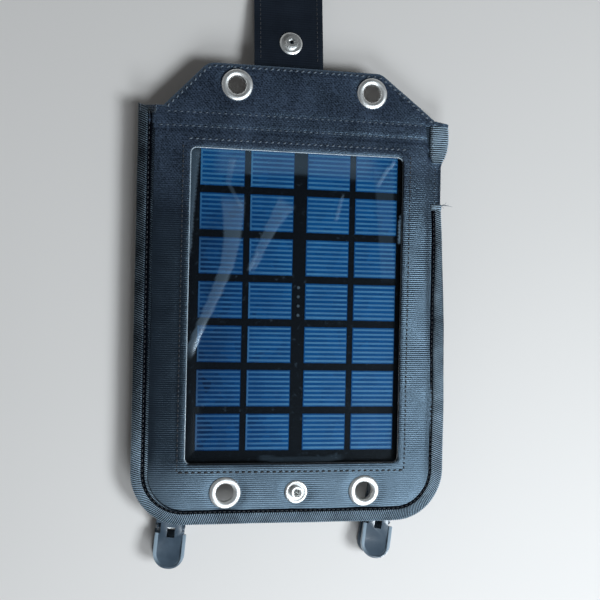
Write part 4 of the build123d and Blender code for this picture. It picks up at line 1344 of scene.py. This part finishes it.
def add_resin():
    """The clear coat over the cells, with softened edges."""
    low, high = limits("panel_resin")
    outline = [(low[0], low[1]), (high[0], low[1]), (high[0], high[1]), (low[0], high[1])]
    flat, triangles = cut_sheet(outline, 4.0)
    x, y = flat.T
    gap, _ = chain_distance(x, y, outline + outline[:1])
    top = high[2] - 0.22 * bump(gap, 1.2) + 0.02 * ripple(x, y, 30.0, 2.2)
    shape = thick_sheet(flat, triangles, top, np.full(len(x), low[2] + 0.45))
    add_piece("resin_coat", shape, RESIN_LOOK, stands_for=["panel_resin"])


def add_window_lip():
    """The film's cut edge and the fold of cloth that holds it, seen round the window."""
    loop = divided(window_outline(-0.35), 1.2)
    loop += loop[:2]
    xs, ys = np.array(loop).T
    line = np.column_stack([xs, ys, front_top(xs, ys) - 0.95])
    sides = 8
    obj = add_piece("window_lip", tube(line, 0.36, sides), LIP_LOOK, sharp=80)
    # Painted highlight along the window's top and left edges, which face the light
    bright = np.maximum(smooth(ys, WINDOW_Y - 3, WINDOW_Y - 1), smooth(-xs, WINDOW_X - 3, WINDOW_X - 1))
    paint(obj, "bright", np.repeat(bright, sides))


# ---- panel details ----
FINGER_COUNT = 8
COLUMNS = 4
CELL_ROWS = [f"cell_row_{row}" for row in range(1, 8)]
CELL_WIDTH = 23.8
COLUMN_GAP = 3.3
CENTRE_GAP = 7.4


def cell_boxes():
    """Low and high corners of every cell, row by row."""
    boxes = []
    for row in CELL_ROWS:
        low, high = limits(row)
        for column in range(COLUMNS):
            x = low[0] + column * (CELL_WIDTH + COLUMN_GAP) + (column > 1) * (CENTRE_GAP - COLUMN_GAP)
            boxes.append((column, (x, low[1]), (x + CELL_WIDTH, high[1]), high[2]))
    return boxes


def strip(x0, x1, y0, y1, low, high):
    """A thin printed line with chamfered edges."""
    edge = min((high - low) * 0.8, (y1 - y0) * 0.3, (x1 - x0) * 0.3)
    base = [(x0, y0, low), (x1, y0, low), (x1, y1, low), (x0, y1, low)]
    top = [(x0 + edge, y0 + edge, high), (x1 - edge, y0 + edge, high),
           (x1 - edge, y1 - edge, high), (x0 + edge, y1 - edge, high)]
    faces = [(3, 2, 1, 0), (4, 5, 6, 7)] + [(i, (i + 1) % 4, (i + 1) % 4 + 4, i + 4) for i in range(4)]
    return base + top, faces


def add_fingers():
    """Printed contact lines across each cell, and the ribbon down the left columns."""
    lines, ribbons = [], []
    for column, (x0, y0), (x1, y1), z in cell_boxes():
        pitch = (y1 - y0) / FINGER_COUNT
        for i in range(FINGER_COUNT):
            y = y0 + pitch * (i + 0.5)
            half = 0.52 if i else 0.62
            lines.append(strip(x0 + 0.5, x1 - 0.3, y - half, y + half, z, z + 0.06))
        if column < 2:
            ribbons.append(strip(x0 + 0.1, x0 + 1.0, y0 + 0.3, y1 - 0.3, z, z + 0.1))
    look = finger_material()
    add_piece("cell_contact_lines", merged(lines), look, sharp=20)
    add_piece("cell_ribbons", merged(ribbons), look, sharp=20)


# ---- metal ----
def eyelet_profile(front, back):
    """Rolled eyelet: a domed flange in front, a barrel and a rolled foot behind the washer."""
    dome = []
    inner, outer = EYELET_BORE, EYELET_FLANGE
    for i in range(15):
        a = math.pi * (1 - i / 14)
        r = (inner + outer) / 2 + (outer - inner) / 2 * math.cos(a)
        dome.append((r, front + 1.45 * math.sin(a) ** 0.8 if 0 < i < 14 else front + 0.05))
    under = [(outer - 0.25, front - 0.2), (outer - 1.0, front - 0.05), (inner + 0.6, front - 0.1)]
    foot = [(inner + 0.6, back - 0.2), (inner + 1.8, back - 0.55), (inner + 1.7, back - 0.95),
            (inner + 0.7, back - 1.05), (inner + 0.1, back - 0.7)]
    return dome + under + foot


def washer_profile(back):
    inner, outer = EYELET_BORE + 0.65, EYELET_FLANGE - 0.5
    return [(inner, back), (outer - 0.2, back), (outer, back - 0.3), (outer - 0.3, back - 0.62),
            (outer - 1.2, back - 0.75), (inner + 1.6, back - 0.7), (inner, back - 0.5)]


# Stud as radii and heights: a ring flange with a hollow, a waisted post and a rolled mouth
STUD_PROFILE = ((1.75, -0.3), (5.9, -0.3), (6.2, 0.1), (6.25, 0.45), (6.0, 0.8), (5.5, 1.02), (4.9, 1.0),
                (4.3, 0.72), (3.7, 0.7), (3.25, 0.95), (3.15, 1.5), (3.3, 2.1), (3.55, 2.6), (3.5, 3.05),
                (3.2, 3.35), (2.7, 3.45), (2.1, 3.3), (1.75, 2.9))


def height_beside(x, y, reach):
    """Height of the cloth a little to the left and right of a fitting."""
    face = head_top if y > 0 else front_top
    return float(face(np.array([x + reach, x - reach]), np.array([y, y])).mean())


def add_metal():
    rings, washers = [], []
    for x, y in EYELETS:
        rings.append(lathe(eyelet_profile(height_beside(x, y, 9.5) + 0.05, RIM_Z), x, y))
        washers.append(lathe(washer_profile(RIM_Z), x, y))
    face = height_beside(*FRONT_SNAP, 7.0)
    stud = lathe([(r, face + z) for r, z in STUD_PROFILE], *FRONT_SNAP)
    pieces = {"eyelet_rings": (merged(rings), "eyelets"), "eyelet_backs": (merged(washers), "eyelet_washers"),
              "front_stud": (stud, "front_snap_stud")}
    for name, (shape, node) in pieces.items():
        add_piece(name, shape, NICKEL, stands_for=[node], sharp=50)


# ---- straps ----
STRAP_LOW, STRAP_HIGH = limits("strap_root")
HEAD_FOLD = [v / MM for v in JOINTS["strap_fold_base"]["pos_m"]]
MID_FOLD = [v / MM for v in JOINTS["strap_fold_middle"]["pos_m"]]
STRAP_THICK = limits("strap_tip")[1][2] - limits("strap_tip")[0][2]
STRAP_SPLIT_Y = 172.0  # where the strap's mesh is cut in two, between the folds
STRAP_GROOVE = 3.3  # from the strap's edge to its sewn groove


def strap_line():
    """Middle line of the strap in Y and Z, from the sewn root over both folds to the tip."""
    root_z = (STRAP_LOW[2] + STRAP_HIGH[2]) / 2
    tip_z = STRAP_THICK / 2
    tip_end = limits("strap_tip")[1][1]
    slope_start, slope_end = HEAD_FOLD[1] + 0.2, MID_FOLD[1] - 0.33
    corners = [(STRAP_LOW[1], root_z), (slope_start, root_z), (slope_end, tip_z), (tip_end, tip_z)]
    line = np.array(divided(corners, 0.8, closed=False))
    for _ in range(2):
        soft = averaged(line, 5)
        soft[:3], soft[-3:] = line[:3], line[-3:]
        line = soft
    return line


def ribbon(line, x0, x1, thickness, across, groove):
    """A closed flat strap along a (y, z) line, with soft edges and a sewn groove near each side."""
    ahead = unit(np.gradient(line, axis=0))
    normals = np.column_stack([-ahead[:, 1], ahead[:, 0]])
    sections = []
    xs = np.linspace(x0, x1, across + 1)
    near = np.minimum(xs - x0, x1 - xs)
    half = thickness / 2 * (0.35 + 0.65 * smooth(near, 0.0, 0.9)) - 0.16 * bump(near - groove, 0.55)
    for (y, z), (ny, nz) in zip(line, normals):
        top = [(x, y + ny * h, z + nz * h) for x, h in zip(xs, half)]
        low = [(x, y - ny * h, z - nz * h) for x, h in zip(xs[::-1], half[::-1])]
        sections.append(top + low)
    return sections


def add_straps():
    """The hanger strap in two lengths, each one running over one of its folds."""
    line = strap_line()
    cut = int(np.argmin(np.abs(line[:, 0] - STRAP_SPLIT_Y)))
    sections = ribbon(line, STRAP_LOW[0], STRAP_HIGH[0], STRAP_THICK, 24, STRAP_GROOVE)
    first = add_strap("hanger_strap", sections[:cut + 1], "strap_root", "strap_lower")
    second = add_strap("hanger_strap_end", sections[cut:], "strap_tip")
    ends = {"start": fold_point(HEAD_FOLD, -1.6), "end": fold_point(HEAD_FOLD, 1.8)}
    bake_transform(first)
    ends = {"start": fold_point(MID_FOLD, -2.6), "end": fold_point(MID_FOLD, 2.6)}
    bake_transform(second)
    add_strap_stitches(line, STRAP_LOW[0] + STRAP_GROOVE, STRAP_HIGH[0] - STRAP_GROOVE)


def add_strap(name, sections, *nodes):
    return add_piece(name, swept(sections), WEB_LOOK, None, nodes, sharp=50)


def fold_point(fold, shift):
    """A point on the strap near a fold, in metres."""
    return (fold[0] * MM, (fold[1] + shift) * MM, fold[2] * MM)


def add_strap_stitches(line, left, right):
    """Sewn rows near the strap's edges, in two lengths that follow its two stretches."""
    def face(x, y):
        return np.interp(y, line[:, 0], line[:, 1]) + STRAP_THICK / 2 - 0.12

    def row(*ends):
        return stitch_row(list(ends), face, FINE_STITCH, share=0.68, radius=0.24)

    start, end = HEAD_FOLD[1] + 3.0, MID_FOLD[1] - 4.0
    rows = [row((x, start), (x, end)) for x in (left, right)]
    add_stitches("strap_stitches", rows, DARK_THREAD, "strap_lower")
    start, end = MID_FOLD[1] + 4.0, line[-1][0] - 2.5
    rows = [row((x, start), (x, end)) for x in (left, right)] + [row((left, end), (right, end))]
    add_stitches("strap_end_stitches", rows, DARK_THREAD, "strap_tip")


# ---- clips ----
CLIP_SIDES = ("left", "right")


def softened(node, name, width, material, body):
    """A copy of a moulded CAD part with rounded edges, standing in for it."""
    mesh = frame["nodes"][node].data.copy()
    mesh.name = name
    obj = new_object(name, mesh)
    work = bmesh.new()
    work.from_mesh(mesh)
    bmesh.ops.remove_doubles(work, verts=work.verts, dist=0.002 * MM)
    bmesh.ops.dissolve_limit(work, angle_limit=math.radians(1.0), verts=work.verts, edges=work.edges)
    work.to_mesh(mesh)
    work.free()
    bevel = obj.modifiers.new("edges", "BEVEL")
    bevel.width = width * MM
    bevel.segments = 3
    bevel.limit_method = "ANGLE"
    bevel.angle_limit = math.radians(35)
    obj.data = bpy.data.meshes.new_from_object(obj.evaluated_get(bpy.context.evaluated_depsgraph_get()))
    obj.modifiers.clear()
    shade_smooth(obj.data, 38)
    dress(obj, material, body, [node])


SPRING_WIRE = 0.28
COIL_X = (2.5, 3.65)  # inner and outer end of each coil along the pin
COIL_TURNS = 2.35
COIL_RADIUS = 2.45
COIL_STEPS = 44
LEG_REACH = 8.6


def coil_path(pin, axis, side):
    """One coil about the pin with its two legs, in the clip's own directions."""
    up = np.array([0.0, 0.0, 1.0])
    tail = np.cross(up, axis)
    tail *= -1 if tail[1] > 0 else 1
    inner, outer = (axis * side * x for x in COIL_X)
    points = [pin + inner + tail * LEG_REACH + up * 2.6]
    for i in range(COIL_STEPS + 1):
        t = i / COIL_STEPS
        a = math.radians(80) + 2 * math.pi * COIL_TURNS * t
        round_pin = COIL_RADIUS * (tail * math.cos(a) + up * math.sin(a))
        points.append(pin + inner + (outer - inner) * t + round_pin)
    points.append(pin + outer + tail * LEG_REACH - up * 1.1)
    return points


def add_spring(side):
    """Double torsion spring: two coils whose upper legs are one loop."""
    joint = JOINTS[f"{side}_clip_open"]
    pin, axis = np.array(joint["pos_m"]) / MM, np.array(joint["axis"])
    paths = [coil_path(pin, axis, hand) for hand in (-1, 1)]
    loop = list(np.linspace(paths[0][0], paths[1][0], 5))
    parts = [tube(path, SPRING_WIRE, 8) for path in paths + [loop]]
    spring = add_piece(f"{side}_spring_coil", merged(parts), STEEL, None,
                       [f"{side}_clip_spring"], sharp=80)
    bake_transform(spring)


def add_clips():
    for side in CLIP_SIDES:
        pivot = [value / MM for value in JOINTS[f"{side}_clip_swivel"]["pos_m"][:2]] + [0.0]
        look = clip_material(side, pivot)
        for part, soft in (("lever", 0.7), ("jaw", 0.4)):
            node = f"{side}_clip_{part}"
            softened(node, f"{node}_moulding", soft, look, node)
        add_spring(side)
        add_clip_tab(side)


def add_clip_tab(side):
    """Webbing tab from under the back down to the clip's rivet."""
    low, high = limits(f"{side}_clip_tab")
    thick = 1.0
    corners = [(low[1], low[2] + thick / 2), (low[1] + 8.8, low[2] + thick / 2),
               (low[1] + 11.2, high[2] - thick / 2), (high[1], high[2] - thick / 2)]
    sections = ribbon(np.array(divided(corners, 0.7, closed=False)), low[0], high[0], thick, 12, 1.2)
    add_piece(f"{side}_tab_webbing", swept(sections), WEB_LOOK,
              stands_for=[f"{side}_clip_tab"], sharp=50)


# ---- foam and electronics ----
FOAM_GAP = 0.6  # between the foam and the junction box


def add_foam():
    """The pad behind the panel, with soft edges and a cut-away for the junction box."""
    low, high = limits("foam_pad")
    notch_x, notch_y = limits("junction_box")[0][:2] - FOAM_GAP
    outline = [(low[0], low[1]), (high[0], low[1]), (high[0], notch_y), (notch_x, notch_y),
               (notch_x, high[1]), (low[0], high[1])]
    flat, triangles = cut_sheet(outline, 3.0)
    gap, _ = chain_distance(*flat.T, outline + outline[:1])
    crush = 0.8 * bump(gap, 1.6)
    top = high[2] - 0.1 - crush
    bottom = low[2] + 0.1 + crush * 0.6 + 0.1 * ripple(*flat.T, 12.0, 9.5)
    shape = thick_sheet(flat, triangles, top, bottom)
    obj = add_piece("foam_block", shape, FOAM_LOOK, stands_for=["foam_pad"])


CAD_LOOKS = {
    "panel_board": BOARD_LOOK, "test_pads": PAD_LOOK, "junction_box": BOX_LOOK,
    "junction_box_lid": BOX_LOOK, "circuit_board": CIRCUIT_LOOK, "output_socket": NICKEL,
    "panel_leads": COPPER_LOOK, "choke": BOX_LOOK, "diode": BOX_LOOK, "capacitor": TAN_LOOK,
    "front_snap_post": NICKEL, "strap_snap_stud": NICKEL, "strap_snap_post": NICKEL,
    "strap_snap_socket": NICKEL, "strap_snap_cap": NICKEL,
}


def finish_cad_nodes():
    """Materials for the CAD parts that show as they are."""
    looks = dict(CAD_LOOKS)
    for row in CELL_ROWS:
        looks[row] = CELL_LOOK
    for side in CLIP_SIDES:
        looks[f"{side}_clip_pin"] = PIN_LOOK
        looks[f"{side}_clip_rivet"] = NICKEL
    for node, look in looks.items():
        mesh = frame["nodes"][node].data
        mesh.materials.clear()
        mesh.materials.append(look)
        shade_smooth(mesh, 32)


# ---- studio ----
FLOOR_HALF = 15.0  # metres
LAMP_COLOUR = (0.86, 0.94, 1.0)
# Places from the horizon up to overhead, and the brightness of the surroundings there
SKY = ((0.0, 0.62), (0.28, 0.34), (0.62, 0.05), (1.0, 0.035))


def add_floor():
    mesh = bpy.data.meshes.new("studio_floor")
    corners = [(x * FLOOR_HALF, y * FLOOR_HALF, 0) for x, y in ((-1, -1), (1, -1), (1, 1), (-1, 1))]
    mesh.from_pydata(corners, [], [(0, 1, 2, 3)])
    mesh.materials.append(floor_material())
    new_object("studio_floor", mesh)


def add_lamp(name, place, size, power):
    """A square soft lamp at a place in metres, facing the middle of the window."""
    data = bpy.data.lights.new(name, "AREA")
    data.shape = "SQUARE"
    data.size = size
    data.energy = power
    data.color = LAMP_COLOUR
    obj = new_object(name, data)
    obj.location = place
    toward = Vector((0, 0, FRONT_Z * MM)) - Vector(place)
    obj.rotation_euler = toward.to_track_quat("-Z", "Y").to_euler()


def add_world():
    """Pale surroundings near the horizon that darken overhead."""
    world = bpy.data.worlds.new("studio")
    bpy.context.scene.world = world
    world.use_nodes = True
    tree = world.node_tree
    tree.nodes.clear()
    coordinates = tree.nodes.new("ShaderNodeTexCoord")
    split = tree.nodes.new("ShaderNodeSeparateXYZ")
    ramp = tree.nodes.new("ShaderNodeValToRGB")
    fill_ramp(ramp.color_ramp, [(place, (level * 0.97, level * 0.99, level)) for place, level in SKY])
    background = tree.nodes.new("ShaderNodeBackground")
    output = tree.nodes.new("ShaderNodeOutputWorld")
    tree.links.new(coordinates.outputs["Generated"], split.inputs[0])
    tree.links.new(split.outputs["Z"], ramp.inputs[0])
    tree.links.new(ramp.outputs[0], background.inputs[0])
    tree.links.new(background.outputs[0], output.inputs[0])


CAMERA_LENS = 60.0
SENSOR = 36.0
CAMERA_DISTANCE = 0.5405  # metres from the middle of the window
CAMERA_TURN = (0.405, 11.703, -1.263)  # pitch, yaw and roll in degrees
CAMERA_SHIFT = (0.0073, 0.0131)


def add_camera():
    """The viewpoint: above the window and a little to its left, leaning slightly."""
    data = bpy.data.cameras.new("camera")
    data.lens = CAMERA_LENS
    data.sensor_width = SENSOR
    data.shift_x, data.shift_y = CAMERA_SHIFT
    data.clip_start = 0.01
    camera = new_object("camera", data)
    pitch, yaw, roll = (math.radians(a) for a in CAMERA_TURN)
    to_camera = Matrix.Rotation(pitch, 3, "X") @ Matrix.Rotation(yaw, 3, "Y") @ Matrix.Rotation(roll, 3, "Z")
    turn = to_camera.transposed()
    target = Vector((0, 0, FRONT_Z * MM))
    place = target + turn @ Vector((0, 0, CAMERA_DISTANCE))
    camera.matrix_world = Matrix.Translation(place) @ turn.to_4x4()
    bpy.context.scene.camera = camera


add_camera()
add_floor()
add_world()
add_lamp("key", (0.60, -0.33, 0.88), 0.42, 10.4)
add_lamp("low", (0.14, -0.85, 0.72), 0.45, 6.0)
add_lamp("fill", (-0.9, 0.5, 1.2), 1.2, 0.7)
add_front_cloth()
add_head_cloth()
add_back_cloth()
add_front_stitches()
add_edge_tape()
add_tape_stitches()
add_tape_ends()
add_mouth_tape()
add_mouth_hems()
add_resin()
add_film()
add_window_lip()
add_fingers()
add_metal()
add_straps()
add_clips()
add_foam()
finish_cad_nodes()
bpy.context.scene.view_settings.view_transform = "Standard"
